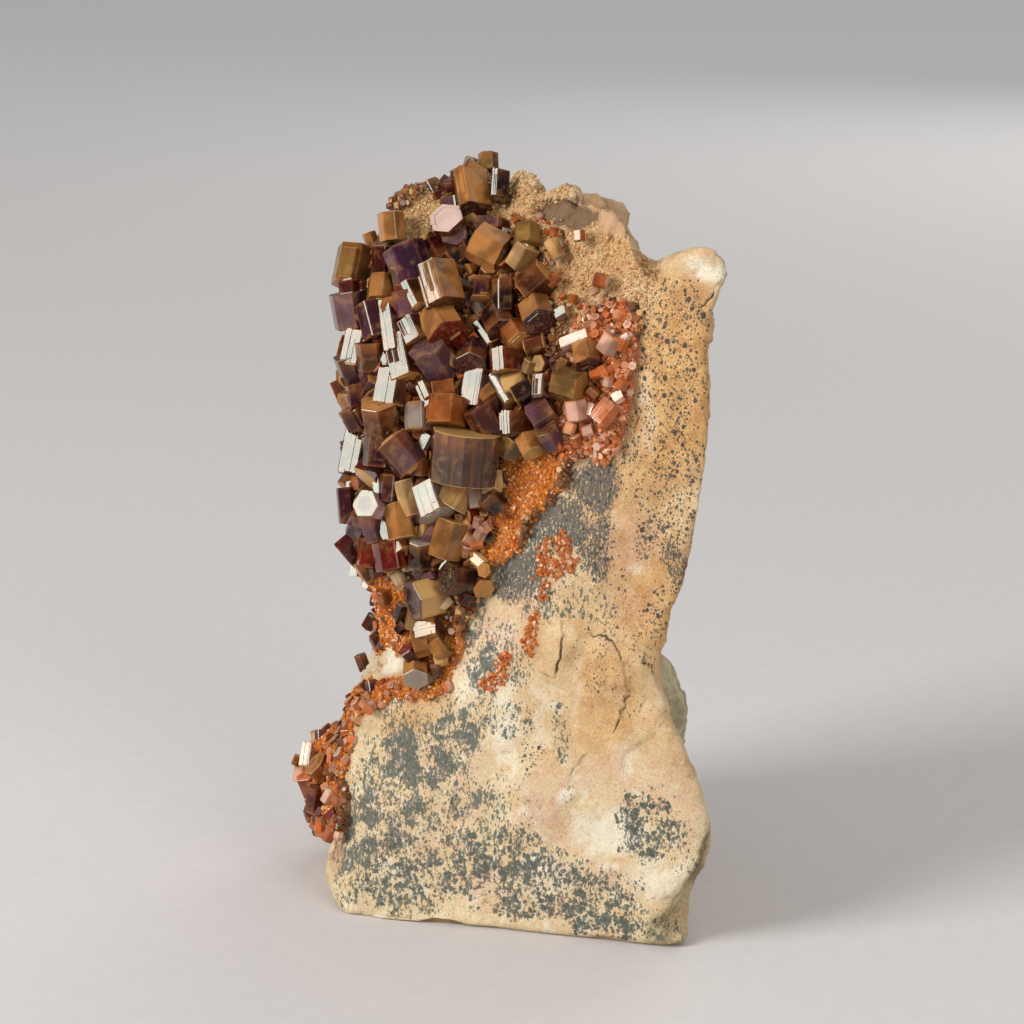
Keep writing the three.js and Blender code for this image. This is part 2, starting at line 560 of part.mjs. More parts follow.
function vanadiniteCrust(cutter) {
  const edge = new Outline([
    ...SHOWN_EDGE.map((place) => onEdgeScale(castFromSheet(place, PLAIN_STONE).unrolled)),
    ...HIDDEN_EDGE.map(([x, y]) => onEdgeScale({ x, y })),
  ]);
  const skin = stoneGrown((unrolledPlace, p) => {
    const inside = edge.inside(onEdgeScale(unrolledPlace));
    const part = share(inside, -EDGE_WIDTH / 2, EDGE_WIDTH / 2);
    return THREE.MathUtils.lerp(CRUST_BURIED, crustThickness(p), part);
  });
  const shown = shownCrystals();
  const fill = FILL_BEDS.flatMap((bed) => fillCrystals(bed, shown, edge));
  const crystals = [...shown, ...fill, ...redGrains()].map(standingPrism);
  return mainBody(joined([toManifold(skin), ...crystals]).subtract(cutter));
}

// A patch of small crystals on a thin bed of their own.
function drusePatch(places, cutter) {
  const points = places.map((place) => castFromSheet(place, PLAIN_STONE).point);
  const crystals = places.map(([across, , width], i) => standingPrism({
    centre: points[i].clone().addScaledVector(TOWARD_EYE, 0.3 * width),
    axis: strayed(TOWARD_EYE, 1, 50 + 10 * across),
    width,
    length: 1.1 * width,
    turn: 0,
  }));
  const box = new THREE.Box3().setFromPoints(points);
  const size = box.getSize(new THREE.Vector3());
  const bed = new THREE.IcosahedronGeometry(1, 0)
    .scale(size.x / 2 + PATCH_BED, size.y / 2 + PATCH_BED, size.z / 2 + PATCH_BED)
    .translate(...box.getCenter(new THREE.Vector3()));
  return mainBody(joined([toManifold(bed), ...crystals]).subtract(cutter));
}

// ---- the specimen -------------------------------------------------------------------------

const stoneFinish = new THREE.MeshStandardMaterial({ color: 0xcfae84, roughness: 0.85 });
const crystalFinish = new THREE.MeshStandardMaterial({ color: 0x6b2f1c, roughness: 0.2 });
const druseFinish = new THREE.MeshStandardMaterial({ color: 0xb5562a, roughness: 0.4 });

const specimen = new THREE.Group();

function place(name, solid, finish) {
  const mesh = new THREE.Mesh(toGeometry(solid), finish.clone());
  mesh.name = name;
  specimen.add(mesh);
}

const wholeStone = stoneGrown(() => 0);
const cutter = joined([toManifold(wholeStone), toManifold(stoneGrown(() => CLEARANCE))]);
place("matrix", withBreaks(wholeStone), stoneFinish);
place("vanadinite_crust", vanadiniteCrust(cutter), crystalFinish);
for (const [name, places] of Object.entries(PATCHES))
  place(name, drusePatch(places, cutter), druseFinish);

// The specimen's box is centred over the origin.
const middle = new THREE.Box3().setFromObject(specimen).getCenter(new THREE.Vector3());
specimen.position.set(-middle.x, -middle.y, 0);

export default specimen;
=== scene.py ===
# %% [markdown]
# # A vanadinite specimen
#
# A broken block of pale stone carries a crust of stout hexagonal crystals. This notebook dresses
# the solid model of it. The solids give the size, the place and the big flat breaks. What is added
# here is what a hand lens would find: growth steps on the crystals, druse between them, the
# stone's grain, its cracks and its black fern-like stains.

import math
import random

import bmesh
import bpy
import numpy as np
from mathutils import Matrix, Vector, noise
from mathutils.bvhtree import BVHTree


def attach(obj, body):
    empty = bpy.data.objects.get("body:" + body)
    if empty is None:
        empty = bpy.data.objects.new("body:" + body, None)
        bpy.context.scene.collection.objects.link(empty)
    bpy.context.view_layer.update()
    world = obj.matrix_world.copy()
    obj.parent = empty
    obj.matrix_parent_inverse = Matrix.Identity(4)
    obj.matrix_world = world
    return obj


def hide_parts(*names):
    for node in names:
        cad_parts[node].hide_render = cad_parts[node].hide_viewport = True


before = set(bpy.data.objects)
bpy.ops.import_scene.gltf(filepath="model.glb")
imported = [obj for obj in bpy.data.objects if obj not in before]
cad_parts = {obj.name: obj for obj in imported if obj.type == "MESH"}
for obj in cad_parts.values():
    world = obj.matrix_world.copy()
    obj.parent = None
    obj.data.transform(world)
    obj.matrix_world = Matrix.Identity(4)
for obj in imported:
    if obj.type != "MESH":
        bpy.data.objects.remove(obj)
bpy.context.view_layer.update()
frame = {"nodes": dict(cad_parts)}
MM = 0.001
print("solids:", ", ".join(frame["nodes"]))

# %% [markdown]
# ## A layout sheet
#
# A specimen like this has a show side, and everything on it was measured on one flat sheet held
# square to the eye. A place on the sheet is (across, up) in millimetres, with `up` counted from
# the foot. It is carried along the line of sight until it meets the stone, so one pair of numbers
# places a crystal or a stain on a rough surface. The camera stands at the same eye point.

# %% The sheet and the eye
MIDDLE_ACROSS = 2.012
MIDDLE_UP = 50
SHEET_MIDDLE = Vector((MIDDLE_ACROSS, -5.753, MIDDLE_UP)) * MM
EYE_PITCH = math.radians(14)
EYE_DISTANCE = 325 * MM
RIGHT = Vector((1, 0, 0))
UP = Vector((0, math.sin(EYE_PITCH), math.cos(EYE_PITCH)))
TOWARD_EYE = Vector((0, -math.cos(EYE_PITCH), math.sin(EYE_PITCH)))
EYE = SHEET_MIDDLE + TOWARD_EYE * EYE_DISTANCE


def sheet_point(across, up):
    return SHEET_MIDDLE + RIGHT * across * MM + UP * (up - MIDDLE_UP) * MM


def on_sheet(points):
    """Where points in space are seen on the sheet, in millimetres."""
    sight = points - np.array(EYE)
    depth = -sight @ np.array(TOWARD_EYE)
    across = sight @ np.array(RIGHT) * EYE_DISTANCE / depth
    up = sight @ np.array(UP) * EYE_DISTANCE / depth
    return np.stack((across, up + MIDDLE_UP * MM), axis=1) / MM


print("eye at", tuple(round(v, 4) for v in EYE))

# %% [markdown]
# ## Camera and studio
#
# A long lens from a third of a metre keeps the crystals' edges nearly parallel. The key is one
# softbox to the left, in front and above: crystal faces turned halfway between it and the eye
# flash white, and all the others stay dark, which is what makes crystals read as crystals. Two
# weak fills and a soft ceiling open the shadows. The room itself is kept dim, because a bright
# room would put a grey veil on every glossy face.

# %% Camera
camera_data = bpy.data.cameras.new("camera")
camera_data.sensor_width = 36
camera_data.lens = 91.4
camera_data.clip_start = 0.01
camera = bpy.data.objects.new("camera", camera_data)
camera.location = EYE
camera.rotation_euler = (math.pi / 2 - EYE_PITCH, 0, 0)
bpy.context.scene.collection.objects.link(camera)
bpy.context.scene.camera = camera
print("lens:", camera_data.lens, "mm")

# %% Lights
LAMPS_AIM_AT = Vector((0, 0, 0.05))


def new_object(name, data):
    obj = bpy.data.objects.new(name, data)
    bpy.context.scene.collection.objects.link(obj)
    return obj


def turned_to(direction):
    return Vector(direction).to_track_quat("Z", "Y").to_euler()


def softbox(name, toward, distance, width, height, watts):
    """A flat lamp that faces the specimen from the given direction."""
    lamp = bpy.data.lights.new(name, "AREA")
    lamp.shape = "RECTANGLE"
    lamp.size = width
    lamp.size_y = height
    lamp.energy = watts
    direction = Vector(toward).normalized()
    obj = new_object(name, lamp)
    obj.location = LAMPS_AIM_AT + direction * distance
    obj.rotation_euler = turned_to(direction)


softbox("key", (-0.8, -0.4, 0.45), 0.75, 0.3, 0.36, 5.6)
softbox("front_fill", (0.55, -0.8, 0.35), 1.1, 0.5, 0.5, 3.6)
softbox("back_fill", (0.5, 0.8, 0.5), 1.1, 0.6, 0.6, 2.5)

ceiling = bpy.data.lights.new("ceiling", "SUN")
ceiling.energy = 0.8
ceiling.angle = math.radians(80)
new_object("ceiling", ceiling).rotation_euler = turned_to((0.1, 0.25, 1))

world = bpy.data.worlds.new("studio")
bpy.context.scene.world = world
world.use_nodes = True
world.node_tree.nodes["Background"].inputs["Color"].default_value = (0.86, 0.87, 0.9, 1)
world.node_tree.nodes["Background"].inputs["Strength"].default_value = 0.2

# %% [markdown]
# ## Finishes by nodes
#
# Every finish here is worked out from the piece's own coordinates, with no pictures. What comes
# out of a node is a `Wire`, and sums and products of wires add the nodes that work them out. `node`
# adds any other node, `mix` blends two colours, `step` makes a soft edge, and `in_millimetres`
# gives a piece's own coordinates counted in millimetres.


# %% Node helpers
def colour(code):
    """A linear colour from a hexadecimal code as painters write it."""
    parts = [int(code[i:i + 2], 16) / 255 for i in (0, 2, 4)]
    return tuple(p / 12.92 if p <= 0.04045 else ((p + 0.055) / 1.055) ** 2.4 for p in parts) + (1,)


class Wire:
    """What comes out of a node."""

    def __init__(self, socket):
        self.socket = socket

    def also(self, output):
        """Another output of the same node."""
        return Wire(self.socket.node.outputs[output])

    def __add__(self, other):
        return maths("ADD", self, other)

    def __sub__(self, other):
        return maths("SUBTRACT", self, other)

    def __rsub__(self, other):
        return maths("SUBTRACT", other, self)

    def __mul__(self, other):
        return maths("MULTIPLY", self, other)


def feed(made, inputs):
    """Joins wires to a node's inputs and sets the others. A text for a colour is its code."""
    for name, value in inputs.items():
        socket = made.inputs[name]
        if isinstance(value, Wire):
            made.id_data.links.new(value.socket, socket)
        elif isinstance(value, str) and socket.type == "RGBA":
            socket.default_value = colour(value)
        else:
            socket.default_value = value


def node(kind, inputs, output=0, tree=None, **settings):
    """Adds a node to the tree of the wires that feed it, and gives back one of its outputs."""
    if tree is None:
        tree = next(value.socket.id_data for value in inputs.values() if isinstance(value, Wire))
    made = tree.nodes.new(kind)
    for name, value in settings.items():
        setattr(made, name, value)
    feed(made, inputs)
    return Wire(made.outputs[output])


def maths(operation, *values, kind="ShaderNodeMath", **settings):
    """One operation on numbers, or on vectors."""
    return node(kind, dict(enumerate(values)), operation=operation, **settings)


def mix(share, low, high):
    """A blend of two colours, each a code or a wire."""
    return node("ShaderNodeMix", {0: share, 6: low, 7: high}, 2, data_type="RGBA")


def step(value, low, high, most=1, least=0):
    """A soft step from `least` to `most` while a value goes from low to high."""
    inputs = {"Value": value, "From Min": low, "From Max": high, "To Min": least, "To Max": most}
    return node("ShaderNodeMapRange", inputs, interpolation_type="SMOOTHSTEP")


def attribute(tree, name, output="Fac"):
    return node("ShaderNodeAttribute", {}, output, tree, attribute_name=name)


def in_millimetres(tree):
    coordinates = node("ShaderNodeTexCoord", {}, "Object", tree)
    return node("ShaderNodeVectorMath", {0: coordinates, "Scale": 1 / MM}, operation="SCALE")


def speckle(place, size, detail=2, rough=0.5, output="Fac"):
    """Smooth noise whose blotches are about `size` millimetres across."""
    inputs = {"Vector": place, "Scale": 1 / size, "Detail": detail, "Roughness": rough}
    return node("ShaderNodeTexNoise", inputs, output)


def bumped(shader, height):
    """Joins a height in millimetres to a shader's normal."""
    feed(shader, {"Normal": node("ShaderNodeBump", {"Height": height, "Distance": MM, "Strength": 1})})


def new_finish(name):
    finish = bpy.data.materials.new(name)
    finish.use_nodes = True
    return finish, finish.node_tree, finish.node_tree.nodes["Principled BSDF"]


def dress(obj, finish, rounded=False):
    """Gives an object one finish, and shades it as a rounded surface or as flat faces."""
    obj.data.materials.clear()
    obj.data.materials.append(finish)
    if rounded:
        obj.data.polygons.foreach_set("use_smooth", [True] * len(obj.data.polygons))
    return obj


print("helpers ready")

# %% [markdown]
# ## The studio floor
#
# One wide round sheet of pale paper, so large that the specimen can be looked at from any side.
# It is stage, not specimen. Far out it is painted paler: painted light that stands in for the light the far
# floor lacks.

# %% Floor
FLOOR_RADIUS = 9
floor = new_object("floor", bpy.data.meshes.new("floor"))
bm = bmesh.new()
bmesh.ops.create_circle(bm, cap_ends=True, radius=FLOOR_RADIUS, segments=64)
bm.to_mesh(floor.data)
bm.free()

paper, tree, shader = new_finish("pale_paper")
place = in_millimetres(tree)
fibres = speckle(place, 2.5, 4)
# painted light: the paper turns paler from 150 mm out, so the far floor, which the lamps light less, still
# looks pale
away = maths("LENGTH", place, kind="ShaderNodeVectorMath", output="Value")
paper_and_painted_light = mix(step(away, 150, 1600), mix(fibres, "cbc6c3", "d3cecb"), "fbf9f6")
feed(shader, {"Base Color": paper_and_painted_light, "Roughness": 0.75})
dress(floor, paper)
print("floor:", len(floor.data.polygons), "faces")

# %% [markdown]
# ## Reading and painting a surface
#
# The stone, the druse bed and the scattered crystals all need to know where they are. These
# helpers read a mesh into arrays, lay smooth noise over it, and paint soft oval patches or the
# inside of an outline, all on the layout sheet.


# %% Mesh helpers
JOIN_WITHIN = 1e-6
SEED_STRIDE = 7.3
OVAL_EDGE = (0.5, 1.25)


def settled(obj):
    """Turns an object's modifiers into plain mesh."""
    evaluated = obj.evaluated_get(bpy.context.evaluated_depsgraph_get())
    mesh = bpy.data.meshes.new_from_object(evaluated)
    obj.modifiers.clear()
    obj.data = mesh
    mesh.name = obj.name


def merged_copy(name):
    """A copy of a solid's mesh with its loose triangles joined."""
    bm = bmesh.new()
    bm.from_mesh(frame["nodes"][name].data)
    bmesh.ops.remove_doubles(bm, verts=bm.verts, dist=JOIN_WITHIN)
    mesh = bpy.data.meshes.new(name + "_copy")
    bm.to_mesh(mesh)
    bm.free()
    return mesh


def read(items, field, width):
    """One field of a mesh's items as an array."""
    values = np.empty(width * len(items), dtype=np.float32)
    items.foreach_get(field, values)
    return values.reshape(-1, width).astype(float)


def points_of(mesh):
    return read(mesh.vertices, "co", 3)


def normals_of(mesh):
    return read(mesh.vertex_normals, "vector", 3)


def painted(mesh, name):
    return read(mesh.attributes[name].data, "value", 1)[:, 0]


def move_points(mesh, points):
    mesh.vertices.foreach_set("co", points.astype(np.float32).ravel())
    mesh.update()


def paint(mesh, name, values):
    """Keeps one number for each point under a name that finishes can read."""
    layer = mesh.attributes.new(name, "FLOAT", "POINT")
    layer.data.foreach_set("value", np.asarray(values, dtype=np.float32))


def soft(values, low, high):
    """A soft step from low to high over an array."""
    t = np.clip((values - low) / (high - low), 0, 1)
    return t * t * (3 - 2 * t)


def facing_eye(normals, low, high):
    return soft(normals @ np.array(TOWARD_EYE), low, high)


def wander(points, size, seed):
    """Smooth noise from -1 to 1 at each point, with blotches of `size` millimetres."""
    scaled = points / (size * MM) + seed * SEED_STRIDE
    return np.array([noise.noise(p) for p in scaled.tolist()])


def drift(points, size, *seeds):
    """Smooth noise for each of some directions."""
    return np.stack([wander(points, size, seed) for seed in seeds], axis=1)


def patches(sheet, rows):
    """The strongest of some soft ovals: across, up, half width, half height, lean, strength."""
    strongest = np.zeros(len(sheet))
    for across, up, half_width, half_height, lean, strength in rows:
        c, s = math.cos(math.radians(lean)), math.sin(math.radians(lean))
        x, y = (sheet - (across, up)).T
        reach = np.hypot((c * x + s * y) / half_width, (c * y - s * x) / half_height)
        strongest = np.maximum(strongest, strength * (1 - soft(reach, *OVAL_EDGE)))
    return strongest


def line_distance(sheet, line):
    """Each place's distance to a line of points, and on which side of it the place lies."""
    nearest = np.full(len(sheet), np.inf)
    side = np.zeros(len(sheet))
    for a, b in zip(line, line[1:]):
        a, run = np.array(a), np.array(b) - np.array(a)
        along = np.clip((sheet - a) @ run / (run @ run), 0, 1)
        off = sheet - a - along[:, None] * run
        distance = np.hypot(*off.T)
        closer = distance < nearest
        nearest = np.where(closer, distance, nearest)
        side = np.where(closer, np.sign(run[0] * off[:, 1] - run[1] * off[:, 0]), side)
    return nearest, side


def inside(sheet, outline):
    """How far inside a closed outline each place lies, and less than nothing outside."""
    within = np.zeros(len(sheet), dtype=bool)
    x, y = sheet.T
    for (ax, ay), (bx, by) in zip(outline, outline[1:] + outline[:1]):
        crosses = (ay > y) != (by > y)
        within ^= crosses & (x < ax + (bx - ax) * (y - ay) / ((by - ay) or 1e-9))
    distance, _ = line_distance(sheet, outline + outline[:1])
    return np.where(within, distance, -distance)


def eased(mesh, values, rounds):
    """Evens out numbers kept at points by averaging each with its neighbours."""
    ends = np.empty(2 * len(mesh.edges), dtype=np.int32)
    mesh.edges.foreach_get("vertices", ends)
    a, b = ends.reshape(-1, 2).T
    count = np.bincount(ends, minlength=len(values)) + 1
    for _ in range(rounds):
        total = values.copy()
        np.add.at(total, a, values[b])
        np.add.at(total, b, values[a])
        values = total / count
    return values


print("mesh helpers ready")

# %% [markdown]
# ## The stone
#
# The block's big form comes from its solid. A voxel grid redraws that form in even cells of half a
# millimetre, and an easing pass takes the edge off the flat facets. Then the rim is drawn out to
# the outline that the block shows, and every point is moved along its normal: a little on the
# smooth show face, which broke along a bedding plane, and more on the sides and the back, which
# broke across it in ledges. Thin flakes have lifted from the show face, and each flake's edge is a
# line on the layout sheet with a step and a shallow crack, painted dark as painted shade.

# %% Flake edges and cracks on the sheet
# Each is a line of places, how high its right-hand side stands, how far that height reaches, and
# how dark the painted shade in the crack along it is.
FLAKES = [
    ([(7.4, 36.6), (6.3, 36.9), (6.2, 33.5), (5.9, 31), (5.1, 29.4), (3.9, 29.5), (2.6, 31)], 0.26, 1.3, 0.7),
    ([(8.4, 35.5), (10.1, 34.3), (11.8, 34.5), (13, 33.3), (13.8, 31.2), (14, 29.2), (14.6, 27.6),
      (13.6, 24.8), (12.7, 22.5), (11.6, 22)], 0.26, 1.3, 0.6),
    ([(10.2, 34.2), (8.8, 31), (8.6, 27), (8, 24)], -0.25, 2, 0),
    ([(16.7, 33.1), (16.5, 31.2), (17.5, 30.7), (17.6, 29.6), (18.2, 28.6)], 0.4, 1, 1),
    ([(26.2, 79.1), (25.4, 78.2), (24.8, 76.8), (23.7, 75.4), (22.6, 74.9)], -0.3, 1.5, 1),
    ([(19.2, 48.8), (20.3, 47.8), (22.3, 46.8)], 0.35, 1.5, 0.1),
    ([(20.8, 70.8), (22.4, 70.4), (23.8, 68.9)], 0.35, 2, 0),
    ([(15.2, 64.5), (15.6, 61.6), (15.4, 59.4)], 0.3, 1, 0.6),
    ([(10.2, 20.2), (9, 19.4), (7.2, 17.2), (6.2, 16)], 0.2, 1, 0.5),
    ([(21.8, 36.4), (19, 35.6), (17.2, 34.8), (15.5, 35)], 0.2, 1, 0.5),
    ([(-21.5, 27.5), (-17, 25.4), (-13.8, 24.2), (-11.5, 24.6)], 0.25, 1.5, 0.2),
    ([(-3.4, 23.2), (-4.2, 17.5), (-2.2, 13.8)], 0.12, 1, 0),
    ([(9, 48), (10.5, 43), (12.5, 41), (14.5, 39.8)], 0.2, 1.5, 0),
    ([(16, 56), (14, 50), (15.5, 46), (14.8, 42)], -0.2, 1.5, 0),
    ([(2.8, 86.4), (3.5, 87.9), (4.6, 89), (6.6, 88.8), (8.6, 88.6), (10.2, 88)], 0.5, 1, 1),
    ([(10.6, 88.9), (10.9, 87), (10.7, 84.9)], 0.3, 1, 0.6),
]
CRACK_WIDTH = 0.1
SOFT_SPOTS = [(6.9, 14.4, 1.5, 1.1, 20, 0.35), (4.8, 12.2, 0.9, 1.3, 0, 0.3)]
# painted shade: a face in a recess behind the top ridge, pushed in and painted dark brown
SHADED_FACE = [(7.1, 87.2, 4, 1.9, -12, 1), (4.1, 87.4, 1.2, 2, -32, 1)]
BLOCK = [(12.7, 87, 2.2, 2.6, 0, 1)]
BEVEL = [(25.5, 14), (24.3, 10.5), (22, 4.6), (19.75, 1), (17.2, -1.2), (16.1, -5)]

# The outline that the block shows: its skyline as (across, up), and its edges as (up, across). The
# right edge comes once for the show face and once for the rounded back that looks out behind its
# waist, and the left edge counts leftward.
SKYLINE = [
    (-1, 93), (0, 92.6), (2.5, 92.4), (2.9, 91.1), (4.75, 91), (6.25, 91.5), (7.9, 91.1), (9, 90),
    (10.75, 89.6), (12.5, 89.25), (14, 88.6), (14.75, 87.1), (15.25, 84.6), (16.1, 82.7), (17.25, 81.4),
    (18.1, 80.9), (19, 81.6), (20.4, 82.5), (22.25, 83), (24.1, 83.25), (25.75, 82.75), (27.4, 81.5),
]
RIGHT_EDGE = [
    (-4, 21.9), (0.9, 22.25), (3.4, 23.1), (5.5, 24.25), (8.4, 24.9), (11.5, 24.6), (15.25, 23.9),
    (18.4, 22.5), (21.25, 21.4), (24.6, 20), (29, 18.6), (31.75, 18.3), (34, 19.2), (37.75, 20),
    (40.9, 21.25), (44.6, 22.25), (49, 23.1), (54, 23.9), (59, 24.6), (64, 24.5), (69, 24.25),
    (72.75, 24.5), (75.5, 25.1), (77.75, 26.25), (80.25, 27), (82, 26.6),
]
LEFT_EDGE = [(-2, 21), (0, 21.6), (1.4, 22.2), (2.9, 22.8), (4.25, 23), (7.75, 22.5), (11, 22)]
BACK_BULGE = [
    (14, 18), (17, 20), (21.25, 21.75), (24, 22), (26.5, 21.7), (29, 21), (31.25, 19.9), (32.4, 18.4),
    (34, 16),
]
print(len(FLAKES), "flakes and cracks")

# %% Stone form
CELL = 0.5
STRIP = 0.5
EDGE_REACH = 9
BULGE_REACH = 12
RIM_FADE = 2
WAIST_UP = 26
BACK_BEHIND = 9 * MM
NOWHERE = -1e9

stone = new_object("stone", merged_copy("matrix"))
grid = stone.modifiers.new("even cells", "REMESH")
grid.mode = "VOXEL"
grid.voxel_size = CELL * MM
ease = stone.modifiers.new("ease the facets", "SMOOTH")
ease.iterations = 4
settled(stone)


def drawn_out(points, which, line, way, reach):
    """Moves the rim of some points, as the eye sees it, onto a line of (along, outward) places."""
    along, outward = on_sheet(points)[:, (0, 1) if way == UP else (1, 0)].T
    outward = -outward if way == -RIGHT else outward
    start, stop = line[0][0], line[-1][0]
    which = which & (along > start) & (along < stop)
    strips = ((along - start) / STRIP).astype(int)
    rim = np.full(int((stop - start) / STRIP) + 1, NOWHERE)
    np.maximum.at(rim, strips[which], outward[which])
    middles = start + STRIP * (np.arange(len(rim)) + 0.5)
    filled = rim > NOWHERE
    rim_here = np.interp(along, middles[filled], rim[filled])
    wanted = np.interp(along, *zip(*line))
    fade = soft(along, start, start + RIM_FADE) * (1 - soft(along, stop - RIM_FADE, stop))
    share = which * fade * soft(outward, rim_here - reach, rim_here)
    return points + np.outer((wanted - rim_here) * share * MM, way)


def refine_along(mesh, lines, reach, cuts):
    """Splits the cells near lines on the sheet, so that thin cracks have room for their form."""
    bm = bmesh.new()
    bm.from_mesh(mesh)
    sheet = on_sheet(points_of(mesh))
    near = np.min([line_distance(sheet, line)[0] for line in lines], axis=0)
    near[normals_of(mesh) @ np.array(TOWARD_EYE) < 0.1] = np.inf
    edges = [e for e in bm.edges if all(near[v.index] < reach for v in e.verts)]
    bmesh.ops.subdivide_edges(bm, edges=edges, cuts=cuts, use_grid_fill=True)
    bm.to_mesh(mesh)
    bm.free()
    mesh.update()


points = points_of(stone.data)
sheet = on_sheet(points)
waist = (sheet[:, 0] > 15) & (abs(sheet[:, 1] - WAIST_UP) < 2)
front_depth = points[waist][np.argmax(sheet[waist, 0]), 1]
behind = points[:, 1] > front_depth + BACK_BEHIND
print("front edge at", round(front_depth / MM, 1), "mm, points behind:", behind.sum())
points = drawn_out(points, ~behind, RIGHT_EDGE, RIGHT, EDGE_REACH)
points = drawn_out(points, behind, BACK_BULGE, RIGHT, BULGE_REACH)
points = drawn_out(points, points[:, 0] < 0, LEFT_EDGE, -RIGHT, EDGE_REACH)
points = drawn_out(points, points[:, 2] > 0, SKYLINE, UP, EDGE_REACH)
move_points(stone.data, points)
refine_along(stone.data, [line for line, _, _, dark in FLAKES if dark > 0], reach=0.8, cuts=2)
print("stone:", len(stone.data.vertices), "points in cells of", CELL, "mm")

# %% Stone relief
CHIP_SEED = 12
SKYLINE_FROM = 0.0885
FOOT = (0.0005, 0.003)
LEDGES_PER_UNIT = 3
LEDGE_HEIGHT = 0.9
UNDERCUT = 0.9
CHIP_STRIDE = 3.1
CHIP_SHUFFLE = 9.7
CRACK_DEPTH = 0.3
noise.seed_set(CHIP_SEED)


def chips(points, size, seed):
    """A relief of flat, slightly tipped facets, as broken stone has."""
    heights = np.empty(len(points))
    for k, place in enumerate((points / (size * MM) + seed * CHIP_STRIDE).tolist()):
        middle = noise.voronoi(place)[1][0]
        heights[k] = noise.noise_vector(middle * CHIP_SHUFFLE).dot(Vector(place) - middle)
    return heights * size


points = points_of(stone.data)
normals = normals_of(stone.data)
sheet = on_sheet(points)
seen = facing_eye(normals, 0.05, 0.4)
shown = seen * (points[:, 2] < SKYLINE_FROM)
broken = 1 - shown * soft(normals @ np.array((0.25, -0.95, 0.1)), 0.3, 0.75)

# the right side, the waist and the left foot broke more smoothly than the back
x, y = points[:, 0] / MM, points[:, 1] / MM
calm = 1 - 0.8 * soft(x, 0, 6) * (1 - soft(y, -18, -6))
calm *= 1 - 0.75 * soft(x, 12, 17) * (points[:, 2] < 40 * MM)
calm *= 1 - 0.7 * soft(-x, 12, 16) * (points[:, 2] < 11 * MM)
broken *= calm

# each row is a size, a seed, the depth everywhere and what broken faces add to it
bent = points + 0.8 * MM * drift(points, 3, 8, 9, 10)
height = 0
for pattern, places, size, seed, depth, more in (
    (wander, points, 6, 1, 0.1, 0.25), (wander, points, 2.4, 2, 0.06, 0.12),
    (wander, points, 1, 3, 0.04, 0.08), (chips, bent, 7, 4, 0.08, 0.38),
    (chips, bent, 2.6, 5, 0.07, 0.3), (chips, bent, 1.1, 6, 0.05, 0.05),
):
    height += (depth + more * broken) * pattern(places, size, seed)

ledge_field = 1.9 * wander(points * (0.7, 0.7, 1.6), 11, 4) + 0.5 * wander(points, 4, 5)
levels = ledge_field * LEDGES_PER_UNIT
ledges = np.floor(levels) / LEDGES_PER_UNIT + soft(levels % 1, 0.75, 1) / LEDGES_PER_UNIT
height += broken * LEDGE_HEIGHT * (ledges - ledge_field)

crack = np.zeros(len(points))
bent = sheet + drift(points, 1.1, 6, 7) * 0.4
torn = soft(wander(points, 2.2, 13), -0.35, 0.15)
for line, rise, reach, dark in FLAKES:
    distance, side = line_distance(bent, line)
    ends = np.minimum(*(np.hypot(*(bent - np.array(line[k])).T) for k in (0, -1)))
    fade = soft(ends, 0, 2.5)
    raised = rise * np.exp(-distance / reach) * (side < 0) * fade
    groove = dark * torn * (0.3 + 0.7 * fade) * np.exp(-((distance / CRACK_WIDTH) ** 2))
    height += seen * (raised - CRACK_DEPTH * groove)
    # painted shade: how dark each crack is drawn, on top of its real, shallow groove
    crack = np.maximum(crack, seen * groove)
height += 0.5 * shown * patches(bent, SOFT_SPOTS)
height -= 1.1 * patches(bent, SHADED_FACE)

distance, side = line_distance(bent, BEVEL)
bevel = (side > 0) * (sheet[:, 1] < 14) * (sheet[:, 0] > 10) * soft(normals[:, 1], 0.1, -0.3)
height -= np.minimum(0.5 * distance, 1.6) * bevel

# the foot stays flat where it stands, with a low hollow along its front edge
foot_fade = soft(points[:, 2], *FOOT)
points += normals * (height * foot_fade * MM)[:, None]
undercut = UNDERCUT * soft(wander(points * (1, 0, 0), 6, 61), -0.15, 0.25) * (abs(sheet[:, 0] - 1) < 13)
points[:, 2] = np.maximum(points[:, 2], undercut * facing_eye(normals, -0.1, 0.2) * MM)
move_points(stone.data, points)
paint(stone.data, "crack", crack)
paint(stone.data, "bevel", bevel * soft(distance, 0, 0.4))
# painted shade: the upper part of the cut-in bevel at the foot is marked to be painted dark
paint(stone.data, "bevel_shade", soft(sheet[:, 1] + wander(points, 2, 14), 2.5, 4.5))
# painted shade on the recessed face near the top
paint(stone.data, "shaded", seen * patches(bent, SHADED_FACE))
paint(stone.data, "block", seen * patches(bent, BLOCK))
bulge = (points[:, 1] > front_depth + 7 * MM) * patches(sheet, [(20.6, 26, 3.4, 8, 0, 1)])
paint(stone.data, "bulge", bulge)
print("relief from", round(height.min(), 2), "to", round(height.max(), 2), "mm")

# %% [markdown]
# ## The stone's colours, painted on the sheet
#
# The stone is cream low down, ochre up the right side, and pinkish where iron has crept in. Over
# it grow dendrites: manganese oxide that spread along the bedding plane in ferny tufts, packed to
# a grey sheet in places, and round dots on the upright horn. Where they lie is painted here as
# soft ovals. What they look like close up is left to the finish, which is far finer than the mesh.

